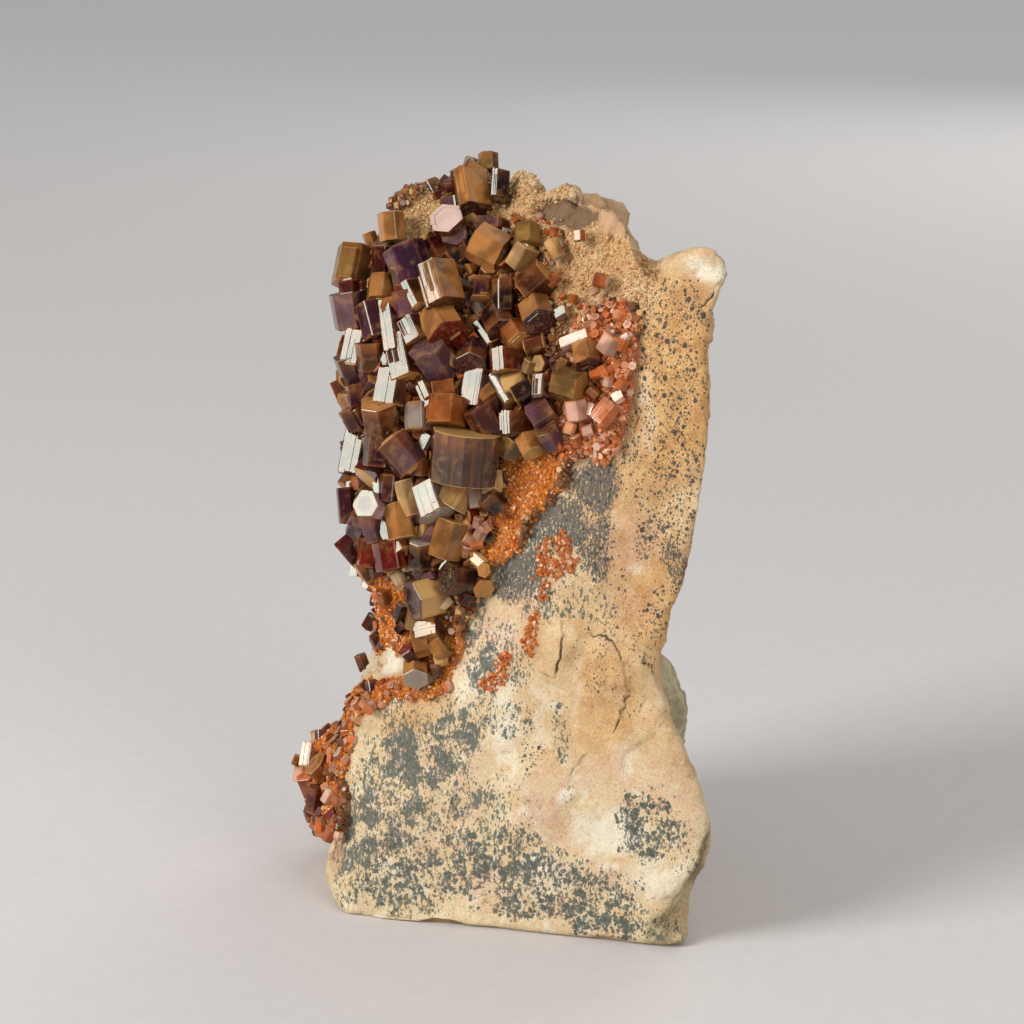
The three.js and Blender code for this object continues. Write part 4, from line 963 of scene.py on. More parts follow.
# %% Crystal list
TONES = {
    "plum": "3a141e", "purple": "422038", "maroon": "40100e", "red": "66140c", "brown": "4e2412",
    "dark": "241010", "caramel": "a8703a", "tan": "ba9058", "olive": "7a5a2c", "mauve": "5c3a40",
    "grey": "8c7e72", "salmon": "cc8a64", "barrel": "3c241c", "orange": "c0602a", "brick": "bc6232",
    "pink": "d2a088", "cream": "ceb88c", "rust": "8e4a1e", "rose": "d2b0b2", "shell": "dcbcb0",
    "blush": "dcae94",
}
SIDE = "side"
END = "end"
CRYSTALS = [
    # the peak
    (-3, 93.8, 2.2, 1.9, 90, -10, 10, "olive", "mauve"), (-5.2, 94, 1.7, 1.4, 70, 0, 0, "grey", "mauve"),
    (-4.7, 92.5, 2.2, 2.3, 150, 10, 20, "caramel", "brown"),
    (-7.5, 90.6, 2, 1.9, 110, 30, 10, "plum", "brown"), (-6.5, 91.9, 2, 2.3, 115, 10, 0, "plum", "grey"),
    (-4.9, 89.6, 4.2, 4.4, -78, SIDE, 1, "caramel", "maroon"),
    (-7.2, 88.3, 1.6, 2.2, -80, SIDE, 0, "mauve", "tan"),
    (-1.5, 90.7, 2.2, 3, 88, SIDE, 1, "dark", "brown"),
    (-7.6, 85.6, 3.9, 3.4, 118, 55, 20, "brown", "shell"),
    (-6.7, 84, 3.1, 2.3, 120, 55, 10, "mauve", "mauve"),
    # the upper left
    (-15, 85.6, 3, 3, 95, 0, 20, "caramel", "tan"),
    (-20.3, 80.7, 4.2, 4.3, 80, -15, 15, "olive", "caramel"),
    (-16.2, 81.2, 2.4, 3.3, 90, 0, 15, "maroon", "grey"),
    (-18.8, 79.6, 1.8, 3.4, 65, SIDE, 0, "pink", "tan"),
    (-12.6, 80.9, 4.6, 4.2, 112, -4, 24, "purple", "mauve"),
    (-9.4, 82.6, 2.4, 2.8, -60, 25, 15, "maroon", "brown"),
    (-5.8, 82.2, 2.4, 2.3, 40, 30, 10, "dark", "brown"),
    (-2.8, 83, 4.2, 3.5, -28, 10, 10, "caramel", "maroon"),
    (1.9, 84.4, 2.8, 2.3, 95, -25, 0, "olive", "olive"), (1.4, 81.9, 2.9, 2.6, 60, 20, 0, "tan", "tan"),
    (5.3, 82.8, 2, 2.4, -65, 10, 0, "tan", "cream"), (-3.4, 77.6, 2.9, 2.4, 80, -20, 10, "plum", "caramel"),
    (-0.9, 77, 2.8, 3.3, 90, -5, 30, "dark", "brown"), (-4, 75.2, 1.8, 2, -60, SIDE, 0, "grey", "tan"),
    (-1.6, 73.8, 3.5, 3.1, -70, 40, 10, "dark", "plum"), (3, 78.6, 4, 3.1, 40, 15, 0, "brown", "caramel"),
    (3.2, 74.6, 3.7, 3, -75, 50, 5, "caramel", "plum"),
    (0.9, 71.7, 3.9, 2.8, -60, 45, 0, "rust", "caramel"), (2.9, 71, 2.2, 2.1, 20, 20, 0, "brown", "tan"),
    (-16.2, 77.5, 3.5, 2.8, 85, -25, 10, "caramel", "caramel"),
    (-20, 75.3, 4.2, 3.8, 100, 10, 10, "mauve", "brown"),
    (-20.4, 77.8, 3.3, 2.3, 95, 0, 0, "maroon", "red"), (-17.3, 73.8, 2.9, 4, -75, 15, 25, "plum", "plum"),
    (-15.3, 73.2, 2.2, 5.6, -80, SIDE, 0, "plum", "brown"),
    (-13.2, 76, 2.4, 2.8, 100, 0, 20, "mauve", "plum"), (-12, 77, 2.4, 3.1, -65, SIDE, 1, "brown", "tan"),
    (-8.6, 77.9, 4.4, 4.9, -72, SIDE, 1, "caramel", "brown"),
    (-8.8, 73.2, 4.4, 4, -60, 45, 10, "caramel", "red"),
    (-12.3, 72.6, 2.9, 2.8, -65, SIDE, 0, "plum", "caramel"),
    (-3.3, 72.3, 1.8, 3.5, -57, SIDE, 1, "dark", "grey"),
    (-6.6, 71.6, 2.4, 2.1, 130, 30, 10, "red", "caramel"),
    (-6.1, 73.2, 1.7, 2, -70, SIDE, 0, "brown", "tan"),
    (-4.9, 71.6, 1.8, 1.6, 40, 10, 0, "orange", "caramel"),
    (-13.8, 79.2, 2.4, 2.6, 100, 10, 0, "brown", "caramel"),
    (-10.6, 84.6, 1.6, 1.6, 60, 20, 10, "tan", "cream"), (-18.2, 84, 1.9, 2, 110, 0, 10, "caramel", "tan"),
    # singles in the sugary tan ground
    (11.1, 78.9, 1.9, 1.7, -15, 15, 0, "brick", "pink"),
    (8.4, 84.5, 1.5, 1.3, 90, SIDE, 0, "brick", "mauve"),
    (5.3, 85, 1.3, 1.2, 80, 10, 0, "orange", "orange"), (5.2, 79, 1.4, 1.8, 50, 10, 0, "brick", "caramel"),
    (6.1, 74.9, 1.7, 1.5, 30, SIDE, 0, "grey", "tan"), (10.4, 77.6, 1, 1, 30, 20, 0, "pink", "cream"),
    (0.6, 86.6, 1.2, 1, 30, 20, 0, "orange", "caramel"), (7.6, 76.6, 1.2, 1.2, 70, 0, 0, "rust", "tan"),
    # the middle left
    (-19.4, 70.3, 3.3, 3.7, 80, SIDE, 0, "brown", "tan"),
    (-19.9, 67.9, 3.4, 3.3, 110, 20, 10, "plum", "maroon"),
    (-17.5, 69.4, 3.3, 3, 95, 10, 20, "brown", "brown"),
    (-15.9, 69.2, 1.6, 2.2, 90, SIDE, 0, "mauve", "grey"),
    (-13.8, 69.2, 3.4, 5, -75, SIDE, 0, "brown", "caramel"),
    (-9.7, 68.8, 4.2, 4, 120, 35, 10, "mauve", "mauve"),
    (-7.8, 68.7, 2.6, 2.3, 55, 10, 0, "tan", "caramel"),
    (-4.8, 69.3, 3.7, 3.1, -100, 50, 5, "plum", "plum"),
    (-6.1, 67.4, 1.9, 1.5, 30, 10, 0, "orange", "caramel"),
    (-0.5, 68.6, 4.2, 2.4, 92, SIDE, 1, "red", "caramel"),
    (-15.1, 65.5, 3.7, 3.7, 80, SIDE, 0, "brown", "tan"),
    (-10.7, 64.9, 2.4, 3.7, -65, SIDE, 0, "brown", "caramel"),
    (-8.5, 65.1, 2.8, 2.3, 10, 0, 0, "rust", "caramel"),
    (-4.6, 65.5, 3, 3.8, -100, SIDE, 0, "mauve", "caramel"),
    (-3.8, 66.6, 1.9, 1.6, 50, 10, 0, "caramel", "caramel"),
    (-3, 64.7, 2.2, 1.7, 30, 10, 0, "caramel", "rust"), (-0.9, 65.2, 2.2, 3.8, -60, SIDE, 1, "grey", "tan"),
    (0.4, 66, 2.8, 2.3, 20, 10, 0, "tan", "tan"), (1.7, 65, 2.8, 2.3, 30, 10, 10, "dark", "tan"),
    (4.1, 65.3, 2.9, 2.3, 90, SIDE, 1, "plum", "brown"), (3.8, 62.4, 3.3, 2.6, 40, 15, 10, "mauve", "plum"),
    (2.2, 68.2, 2, 1.7, 70, 20, 0, "tan", "tan"), (-18.9, 64.2, 2.9, 3, 100, 0, 10, "plum", "plum"),
    (-19.6, 61.8, 2.8, 2.4, 120, 10, 0, "maroon", "red"),
    (-16.2, 61.9, 4, 3.3, 100, 30, 0, "brown", "caramel"),
    (-11.8, 61.9, 2.8, 2.8, 95, -15, 0, "grey", "caramel"),
    (-8.2, 62.4, 4.4, 3, 90, -10, 0, "rust", "caramel"),
    (-3, 61.4, 4, 3.7, 120, 10, 20, "maroon", "maroon"),
    (-19.1, 57.8, 3.9, 5.4, 80, SIDE, 0, "plum", "brown"), (-21.2, 57, 2, 3.5, 80, 0, 20, "maroon", "dark"),
    (-16.5, 58, 3.5, 4, 85, 0, 20, "plum", "brown"), (-13.7, 57.3, 3.9, 3.8, 130, 0, 0, "mauve", "caramel"),
    (-10.9, 58.7, 1.8, 2.4, 60, SIDE, 0, "grey", "tan"), (-11.3, 55.6, 2, 2, 90, 10, 0, "rust", "caramel"),
    (-5.8, 57, 8.4, 5.2, 85, 12, 8, "barrel", "tan"),
    # the red field and the larger crystals in it
    (7.3, 65.7, 3.7, 3, -20, 30, 0, "olive", "caramel"), (7.9, 71.5, 2, 3.7, 22, SIDE, 0, "pink", "pink"),
    (9.2, 69.5, 2.8, 2.6, -80, 35, 0, "caramel", "plum"), (12.2, 71, 2.3, 1.9, 60, 20, 0, "pink", "salmon"),
    (8, 62.8, 2.4, 2.1, 100, 10, 0, "pink", "caramel"), (9.8, 62.8, 1.6, 1.5, 70, SIDE, 0, "pink", "pink"),
    (11.7, 62.4, 2.4, 2.3, 55, SIDE, 0, "brick", "salmon"),
    (-0.2, 58.1, 2.6, 2.1, 60, 20, 0, "olive", "tan"), (2.2, 58.3, 2.6, 2.1, -60, 20, 0, "caramel", "tan"),
    (4.6, 59.4, 2.8, 2.3, 120, 30, 0, "mauve", "brown"),
    (0.6, 60.9, 3.3, 2.4, 90, SIDE, 1, "brown", "brown"),
    (13.4, 64.4, 1.6, 1.4, 30, SIDE, 0, "pink", "red"), (12, 66.4, 1.5, 1.3, 80, 20, 0, "pink", "orange"),
    (11.4, 67.7, 1.4, 1.4, 120, 10, 0, "orange", "brick"),
    (13.8, 66, 1.5, 1.2, 60, 30, 0, "brick", "orange"), (10.4, 67.3, 1.4, 1.2, 20, 20, 0, "orange", "pink"),
    (13.7, 70.9, 1.8, 1.5, 70, 10, 0, "brick", "salmon"),
    (14.1, 71.7, 1.2, 1.2, 40, SIDE, 0, "pink", "pink"),
    (5.6, 58.2, 1.5, 1.4, 30, 20, 0, "brick", "orange"), (8, 58.9, 1.5, 1.3, 110, 20, 0, "brick", "salmon"),
    (7.2, 60.4, 1.5, 1.4, 70, 0, 10, "salmon", "pink"), (10, 65, 1.6, 1.4, 140, 10, 0, "rust", "caramel"),
    (6.4, 68.3, 1.7, 1.6, 60, 10, 0, "caramel", "tan"), (9.6, 60.2, 1.5, 1.4, 20, 30, 0, "pink", "rust"),
    # the lower left
    (-17.3, 50.6, 3.2, 3.4, -85, END, 0, "rose", "grey"),
    (-16.6, 53, 1.8, 2.6, -80, SIDE, 0, "grey", "grey"), (-15.2, 53, 2.4, 2.8, 85, 0, 20, "plum", "brown"),
    (-13, 51.8, 2.2, 3.7, -75, 0, 10, "tan", "cream"), (-14, 48.8, 3.1, 3.7, -78, 10, 10, "caramel", "tan"),
    (-9.9, 51.4, 3.9, 3.6, -70, SIDE, 0, "grey", "grey"), (-7.1, 52.1, 3.7, 2.4, 60, 0, 10, "tan", "cream"),
    (-6.1, 50.7, 1.8, 1.7, 60, SIDE, 0, "grey", "mauve"),
    (-4.2, 52.2, 2.4, 2.6, 100, 0, 0, "grey", "olive"), (-2.6, 53.9, 2.4, 2.3, 95, 10, 0, "tan", "tan"),
    (-2.4, 51.3, 2.4, 2.1, 140, 20, 0, "dark", "maroon"),
    (-1.5, 50.7, 1.2, 1.2, 60, 20, 0, "mauve", "grey"),
    (-20.5, 50.9, 2.6, 3.8, 95, 0, 10, "plum", "maroon"), (-21, 52.9, 1.6, 1.8, 90, SIDE, 0, "grey", "tan"),
    (-15.2, 47.4, 2.4, 4.9, -62, SIDE, 0, "brown", "tan"),
    (-17.3, 48.2, 2.8, 3, 110, 10, 0, "mauve", "mauve"),
    (-16.6, 46.5, 1.8, 1.6, 80, 10, 0, "caramel", "tan"),
    (-15.2, 44.6, 3.5, 3, 100, 0, 20, "red", "maroon"), (-17.6, 44.9, 2.9, 2.8, 80, 0, 0, "red", "rust"),
    (-19.4, 43.3, 1.8, 2.8, 80, SIDE, 0, "grey", "tan"),
    (-17.7, 41.4, 1.8, 2.4, 60, SIDE, 0, "pink", "pink"), (-11, 47.8, 1.4, 2.2, 80, 10, 0, "tan", "tan"),
    (-9.9, 47.2, 2.2, 3.1, 60, 0, 15, "mauve", "plum"), (-11.3, 45, 2.9, 3, 90, 30, 0, "dark", "grey"),
    (-12.5, 43.6, 1.2, 2, 85, SIDE, 0, "grey", "tan"), (-8, 46.8, 3.6, 4, 75, 10, 5, "caramel", "tan"),
    (-5.6, 48.2, 1.7, 1.5, 30, 20, 0, "salmon", "salmon"),
    (-4.2, 48.7, 1.5, 1.4, 80, 20, 0, "pink", "salmon"),
    (-3.1, 48.2, 1.4, 1.4, 120, 0, 0, "salmon", "rust"),
    (-3.9, 47.4, 1.8, 1.6, 60, 30, 0, "pink", "salmon"),
    (-5.4, 46.7, 1.9, 1.6, 150, 20, 0, "salmon", "tan"), (-4.4, 46, 1.5, 1.5, 20, 10, 0, "brick", "salmon"),
    (-5.8, 45.2, 1.7, 1.5, 70, 30, 0, "salmon", "pink"), (-2.8, 46.8, 1.3, 1.3, 40, 0, 0, "dark", "rust"),
    (-6.6, 49.3, 1.3, 1.3, 100, 20, 0, "tan", "salmon"),
    (-4.1, 43.9, 1.8, 2.1, -40, SIDE, 0, "tan", "cream"), (-6.7, 41.6, 3.7, 3, 170, 35, 0, "dark", "dark"),
    (-8.3, 43.2, 1.5, 1.5, 60, SIDE, 0, "grey", "grey"), (-10.2, 41.8, 2, 1.7, 40, 20, 0, "mauve", "mauve"),
    (-14, 41.4, 2, 2.1, -60, 10, 0, "cream", "cream"), (-10.8, 39.4, 4.6, 3, 15, -25, 0, "tan", "plum"),
    (-8.4, 38.9, 2, 1.8, 40, 10, 0, "cream", "tan"),
    (-10.3, 35.5, 3.1, 2.6, 15, SIDE, 0, "caramel", "brown"),
    (-13.9, 37.6, 1.8, 2.1, 70, 20, 0, "dark", "grey"), (-11.9, 36.9, 2.2, 2.8, 80, 0, 0, "tan", "caramel"),
    (-12.4, 32.2, 2.4, 2.1, 130, 20, 0, "maroon", "red"),
    (-11.2, 33.6, 2.8, 1.6, 20, 10, 0, "caramel", "rust"),
    (-9, 33.1, 2.6, 1.6, 30, 20, 0, "caramel", "olive"), (-8.9, 31.6, 1.9, 1.6, 20, 10, 0, "tan", "tan"),
    (-9.4, 30.4, 1.9, 1.6, 100, 10, 0, "brown", "mauve"),
    (-12.1, 30, 2.9, 2.4, -90, 55, 0, "caramel", "grey"),
    (-17.7, 36.3, 2, 1.9, 60, 20, 0, "brown", "brown"), (-16, 39.4, 2, 1.9, 100, 20, 0, "rust", "rust"),
    (-18.7, 31.2, 2, 2.2, 110, 10, 0, "brown", "brown"), (-5.8, 39.3, 1.9, 1.6, 60, 20, 0, "maroon", "red"),
    (-13.8, 35.6, 1.5, 1.5, 40, 20, 0, "dark", "grey"),
    # the spur
    (-25.4, 19.7, 2.2, 2.6, 85, SIDE, 0, "pink", "cream"),
    (-27.1, 18.8, 1.4, 1.4, 60, 10, 0, "rust", "salmon"),
    (-26.2, 17.6, 2.2, 2.4, 80, 20, 0, "pink", "pink"), (-25.2, 16, 2.8, 2.4, 110, 20, 0, "rust", "brick"),
    (-23.4, 17.8, 3.3, 2.8, 140, 20, 0, "rust", "caramel"),
    (-24.4, 14.4, 2.2, 2.4, 80, 10, 0, "red", "brown"), (-22.9, 14.6, 1.8, 1.8, 60, 20, 0, "pink", "cream"),
    (-24.8, 12.8, 1.5, 1.5, 150, 0, 0, "rust", "olive"), (-23.9, 11, 1.7, 1.8, 90, 0, 0, "orange", "brick"),
    (-22.7, 9.8, 1.8, 1.9, 60, 20, 0, "brick", "pink"), (-22.4, 12.2, 1.6, 1.5, 30, 20, 0, "red", "red"),
    (-24.4, 22, 1.6, 1.5, 100, 10, 0, "cream", "tan"),
]
print(len(CRYSTALS), "crystals in the list")

# %% [markdown]
# ## How one crystal is built
#
# A vanadinite crystal is a stout six-sided prism, never quite regular. The side faces lie at
# slightly different distances from the axis, every edge is worn by a hair so that it catches the
# light, most ends carry hexagonal growth steps, up or down, and thin slats of parallel growth
# stand on the sides. All of that is real mesh here. Each face remembers a tone, whether it is an
# end, and two flat maps: one in millimetres for the fine striations that the finish adds, and one
# that runs from edge to edge for its growth zones.


# %% Crystal builder
CAP_MAP_SHIFT = 50
WORN_SHARE = 0.035
MOST_WORN = 0.09
UNEVEN = 0.09
TWIN_UNEVEN = 0.05
BARREL_WIDTH = 8
BARREL_ROUNDING = 0.13
STEPPED_WIDTH = 1.7
TWIN_WIDTH = 2
TWIN_CHANCE = 0.4
TWIN_SHARE = 0.8


class CrystalMesh:
    """Gathers crystals into one mesh, with a tone, an end mark and flat maps for each face."""

    def __init__(self):
        self.points = []
        self.faces = []

    def stack(self, place, outline, rings, tones, offset=(0, 0)):
        """Rings of one outline, each as (scale, height), closed at both ends."""
        side_tone, end_tone = tones
        start, count = len(self.points), len(outline)
        around = [0.0]
        for a, b in zip(outline, outline[1:] + outline[:1]):
            around.append(around[-1] + math.dist(a, b))
        for scale, z in rings:
            self.points += [place @ Vector((x * scale + offset[0], y * scale + offset[1], z))
                            for x, y in outline]
        body = max(range(len(rings) - 1), key=lambda r: rings[r + 1][1] - rings[r][1])
        for r in range(len(rings) - 1):
            low, high = rings[r][1], rings[r + 1][1]
            is_end = r != body
            first = start + r * count
            for j in range(count):
                k = (j + 1) % count
                corners = [first + j, first + k, first + count + k, first + count + j]
                flat = [(around[j], low), (around[j + 1], low), (around[j + 1], high), (around[j], high)]
                unit = [(1, 1)] * 4 if is_end else [(0, 0), (1, 0), (1, 1), (0, 1)]
                tone = end_tone if is_end else side_tone
                self.faces.append((corners, tone, is_end, flat, unit))
        wide = max(math.hypot(*p) for p in outline)
        bottom = [start + j for j in reversed(range(count))]
        top = [start + (len(rings) - 1) * count + j for j in range(count)]
        for corners, order in ((bottom, outline[::-1]), (top, outline)):
            flat = [(x + CAP_MAP_SHIFT, y) for x, y in order]
            unit = [(x / wide, y / wide) for x, y in order]
            self.faces.append((corners, end_tone, True, flat, unit))

    def mesh(self, name):
        mesh = bpy.data.meshes.new(name)
        corners, tones, ends, flat, unit = zip(*self.faces)
        mesh.from_pydata([tuple(p * MM) for p in self.points], [], corners)
        tone = mesh.attributes.new("tone", "FLOAT_COLOR", "FACE")
        tone.data.foreach_set("color", np.array(tones, dtype=np.float32).ravel())
        end = mesh.attributes.new("end", "FLOAT", "FACE")
        end.data.foreach_set("value", np.array(ends, dtype=np.float32))
        for layer_name, faces in (("flat", flat), ("unit", unit)):
            layer = mesh.uv_layers.new(name=layer_name)
            places = [place for face in faces for place in face]
            layer.data.foreach_set("uv", np.array(places, dtype=np.float32).ravel())
        return mesh


def hexagon(width, uneven, worn, rng, flat=1.0):
    """Six sides at uneven distances from the axis, with each corner cut by a hair."""
    apothem = width * math.cos(math.pi / 6) / 2
    distances = [apothem * (1 + uneven * rng.uniform(-1, 1)) for _ in range(6)]
    distances[0] *= flat
    distances[3] *= flat
    corners = []
    for k in range(6):
        a, b = math.radians(60 * k), math.radians(60 * k + 60)
        near, far = distances[k], distances[(k + 1) % 6]
        x = (near * math.sin(b) - far * math.sin(a)) / math.sin(b - a)
        y = (far * math.cos(a) - near * math.cos(b)) / math.sin(b - a)
        corners.append(Vector((x, y)))
    outline = []
    for k, corner in enumerate(corners):
        for other in (corners[k - 1], corners[(k + 1) % 6]):
            outline.append(tuple(corner + (other - corner).normalized() * worn))
    return outline


def end_steps(width, rng):
    """Growth steps on an end face: inner rings, each a little higher or lower."""
    steps = []
    scale, rise = 1 - 0.09 / width, 0.0
    direction = rng.choice((1, 1, -1))
    for _ in range(rng.choice((0, 0, 1, 1, 2)) if width > STEPPED_WIDTH else 0):
        scale *= rng.uniform(0.62, 0.9)
        steps.append((scale, rise))
        rise += direction * width * rng.uniform(0.015, 0.04)
        scale -= 0.02
        steps.append((scale, rise))
    return steps


def slat(a, b, where, share, width, rng):
    """The cross-section of a thin slat that stands on the side from a to b."""
    a, b = Vector(a), Vector(b)
    outward = Vector((b.y - a.y, a.x - b.x)).normalized()
    middle = a.lerp(b, where)
    breadth = (b - a) * share * rng.uniform(0.6, 1)
    depth = width * rng.uniform(0.01, 0.02)
    slope = breadth.length * rng.uniform(-0.06, 0.06)
    inward = outward * 0.1 * width
    corners = [middle - breadth - inward, middle + breadth - inward,
               middle + breadth * 0.97 + outward * (depth + slope),
               middle - breadth * 0.97 + outward * (depth - slope)]
    centre = sum(corners, Vector((0, 0))) / 4
    return sorted((tuple(p) for p in corners), key=lambda p: math.atan2(p[1] - centre.y, p[0] - centre.x))


def add_crystal(gathered, place, width, length, tones, rng, slats=0, flat=1.0):
    """One crystal in its own place: the prism, slats on its sides and a parallel twin."""
    worn = min(MOST_WORN, WORN_SHARE * width)
    barrel = width > BARREL_WIDTH
    outline = hexagon(width, UNEVEN, BARREL_ROUNDING * width if barrel else worn, rng, flat)
    half = length / 2
    near_end = 1 - 2 * worn / width
    top = [(1, half - worn), (near_end, half)]
    bottom = [(1, -half + worn), (near_end, -half)]
    if slats != 1:
        top += [(s, half + z) for s, z in end_steps(width, rng)]
        bottom += [(s, -half - z) for s, z in end_steps(width, rng)]
    gathered.stack(place, outline, bottom[::-1] + top, tones)

    # the face that looks along the crystal's own x lies between the last corner and the first
    sides = [(outline[2 * k + 1], outline[(2 * k + 2) % 12]) for k in range(6)]
    growths = []
    for number in range(slats):
        growths.append((sides[5], (number + rng.uniform(0.3, 0.7)) / slats, 0.5 / slats))
    for _ in range(rng.choice((0, 1, 2)) if width > STEPPED_WIDTH and not barrel else 0):
        growths.append((rng.choice(sides), rng.uniform(0.2, 0.8), rng.uniform(0.1, 0.25)))
    for (a, b), where, share in growths:
        section = slat(a, b, where, share, width, rng)
        low, high = -half * rng.uniform(0.8, 1.04), half * rng.choice((rng.uniform(0.1, 0.6), 1.02))
        gathered.stack(place, section, [(1, low), (1, high)], tones)

    if width > TWIN_WIDTH and slats != 1 and not barrel and rng.random() < TWIN_CHANCE:
        angle = math.radians(60 * rng.randrange(6) + rng.choice((0, 30)))
        reach = width * rng.uniform(0.2, 0.34)
        twin = hexagon(width * rng.uniform(0.45, 0.66), TWIN_UNEVEN, worn, rng)
        shift = half * rng.uniform(-0.25, 0.35)
        low, high = shift - TWIN_SHARE * half, shift + TWIN_SHARE * half
        rings = [(near_end, low), (1, low + worn), (1, high - worn), (near_end, high)]
        gathered.stack(place, twin, rings, tones, (reach * math.cos(angle), reach * math.sin(angle)))


print("crystal builder ready")

# %% [markdown]
# ## Standing the crystals on the bed
#
# A line of sight through a crystal's place on the sheet is followed to the bed, and the crystal's
# middle is set a little proud of where it lands. Past the stone's outline the nearest point of
# the bed takes over, so that crystals on the skyline still grow from something.

# %% Place the crystals
GLEAM = Vector((-0.46, -0.79, 0.4)).normalized()
NEAR_GLEAM = 0.975
BROAD, NARROW = 0.75, 1.35
STAND_PROUD = 0.2
SWELL = 1.2
SWELL_OVER = 2
REACH = 0.42
SLATTED_WIDTH = 1.5
TURN_STEP = 7
NUDGE = 8
SIDE_SCATTER = 0.1
ROLL_SCATTER = 3
BARREL_LUCK = 2

stone_points = points_of(stone.data)
ground_rise = thickness_at(stone_points, *GROUND) * (1 - 0.5 * orange)
ground_points = stone_points + normals_of(stone.data) * (ground_rise * MM)[:, None]
ground = BVHTree.FromPolygons(ground_points.tolist(), [p.vertices[:] for p in stone.data.polygons])


def on_ground(across, up, width):
    """The middle of a crystal of that width, for its place on the sheet."""
    sight = (sheet_point(across, up) - EYE).normalized()
    hit = ground.ray_cast(EYE, sight)[0]
    if hit is not None:
        return hit + TOWARD_EYE * STAND_PROUD * width * MM
    along = (ground_points - np.array(EYE)) @ np.array(sight)
    nearest = np.array(EYE) + along[:, None] * np.array(sight)
    best = int(np.argmin(np.linalg.norm(nearest - ground_points, axis=1)))
    corner = Vector(ground_points[best])
    step_out = Vector(nearest[best]) - corner
    if step_out.length > REACH * width * MM:
        step_out *= REACH * width * MM / step_out.length
    return corner + step_out


def axis_of(lean, tilt):
    """A crystal's axis from its lean on the sheet and its tilt toward the eye."""
    if tilt == END:
        return GLEAM.copy()
    axis = RIGHT * math.cos(math.radians(lean)) + UP * math.sin(math.radians(lean))
    if tilt == SIDE:
        return (axis - TOWARD_EYE * (axis.dot(GLEAM) / TOWARD_EYE.dot(GLEAM))).normalized()
    return axis * math.cos(math.radians(tilt)) + TOWARD_EYE * math.sin(math.radians(tilt))


def is_calm(place):
    """Whether none of a crystal's faces looks at the gleam."""
    turns = [Matrix.Rotation(math.radians(a), 3, "Z") @ Vector((1, 0, 0)) for a in range(0, 360, 60)]
    faces = [place.to_3x3() @ way for way in turns + [Vector((0, 0, 1)), Vector((0, 0, -1))]]
    return max(face.dot(GLEAM) for face in faces) < NEAR_GLEAM


def crystal_place(centre, axis, turn):
    """A frame in millimetres with z along the axis and x on the side that faces the gleam."""
    facing = GLEAM - axis * GLEAM.dot(axis)
    if facing.length < 0.05:
        facing = UP - axis * UP.dot(axis)
    facing = Matrix.Rotation(math.radians(turn), 3, axis) @ facing.normalized()
    across = axis.cross(facing)
    place = Matrix((facing, across, axis)).transposed().to_4x4()
    place.translation = centre / MM
    return place


def tone_of(name, rng):
    """A tone by name, a little lighter or darker each time, with its luck as a fourth number."""
    r, g, b, _ = colour(TONES[name])
    light = rng.uniform(0.75, 1.2)
    luck = rng.random()
    return (r * light, g * light, b * light, BARREL_LUCK if name == "barrel" else luck)


rng = random.Random(5)
large = CrystalMesh()
standing = []
for across, up, width, length, lean, tilt, turn, side, end in CRYSTALS:
    if width > SWELL_OVER:
        width, length = width * SWELL, length * SWELL
    centre = on_ground(across, up, width)
    axis = axis_of(lean, tilt)
    if tilt == SIDE:
        axis = (axis + GLEAM * rng.uniform(-SIDE_SCATTER, SIDE_SCATTER)).normalized()
    roll = rng.uniform(-ROLL_SCATTER, ROLL_SCATTER) if tilt == SIDE else turn
    place = crystal_place(centre, axis, roll)
    while tilt not in (SIDE, END) and not is_calm(place):
        turn += TURN_STEP
        axis = axis_of(lean + rng.uniform(-NUDGE, NUDGE), tilt + rng.uniform(-NUDGE, NUDGE))
        place = crystal_place(centre, axis, turn)
    slats = min(3, round(width * 0.8)) if tilt == SIDE and width > SLATTED_WIDTH else int(tilt == END)
    flat = (NARROW if turn else BROAD) if tilt == SIDE else 1
    add_crystal(large, place, width, length, (tone_of(side, rng), tone_of(end, rng)), rng, slats, flat)
    standing.append((centre, width))
print(len(large.faces), "faces in", len(standing), "crystals")

# %% [markdown]
# ## The crystals between them
#
# Between the large crystals stand smaller ones, and the crust's hidden left side has large ones of
# its own. No list is needed for these: random points of the bed are tried in turn, and a crystal
# grows wherever it isn't crowded out. The tries go from large to small, as in nature, where the
# early ones took the room.

# %% Grow the rest
MOST_TRIES = 12000
CALM_TRIES = 8
AXIS_SCATTER = 0.9
GROWN_PROUD = 0.08
SLOPE_TOP = 41
COMMON = ["plum", "brown", "maroon", "brown", "dark", "purple", "rust", "red", "olive"]
END_COMMON = ["caramel", "tan", "brown", "caramel", "mauve", "rust"]
REDS = ["brick", "salmon", "orange", "brick", "salmon", "rust", "blush"]

bed_points = points_of(bed.data)
bed_normals = normals_of(bed.data)
across, up = on_sheet(bed_points).T
on_bed = painted(bed.data, "solid_bed") > 0.9
bed_orange, bed_red, bed_tan = (painted(bed.data, name) for name in ("orange", "red", "tan"))
fine = np.maximum(np.maximum(bed_orange, bed_red), bed_tan)


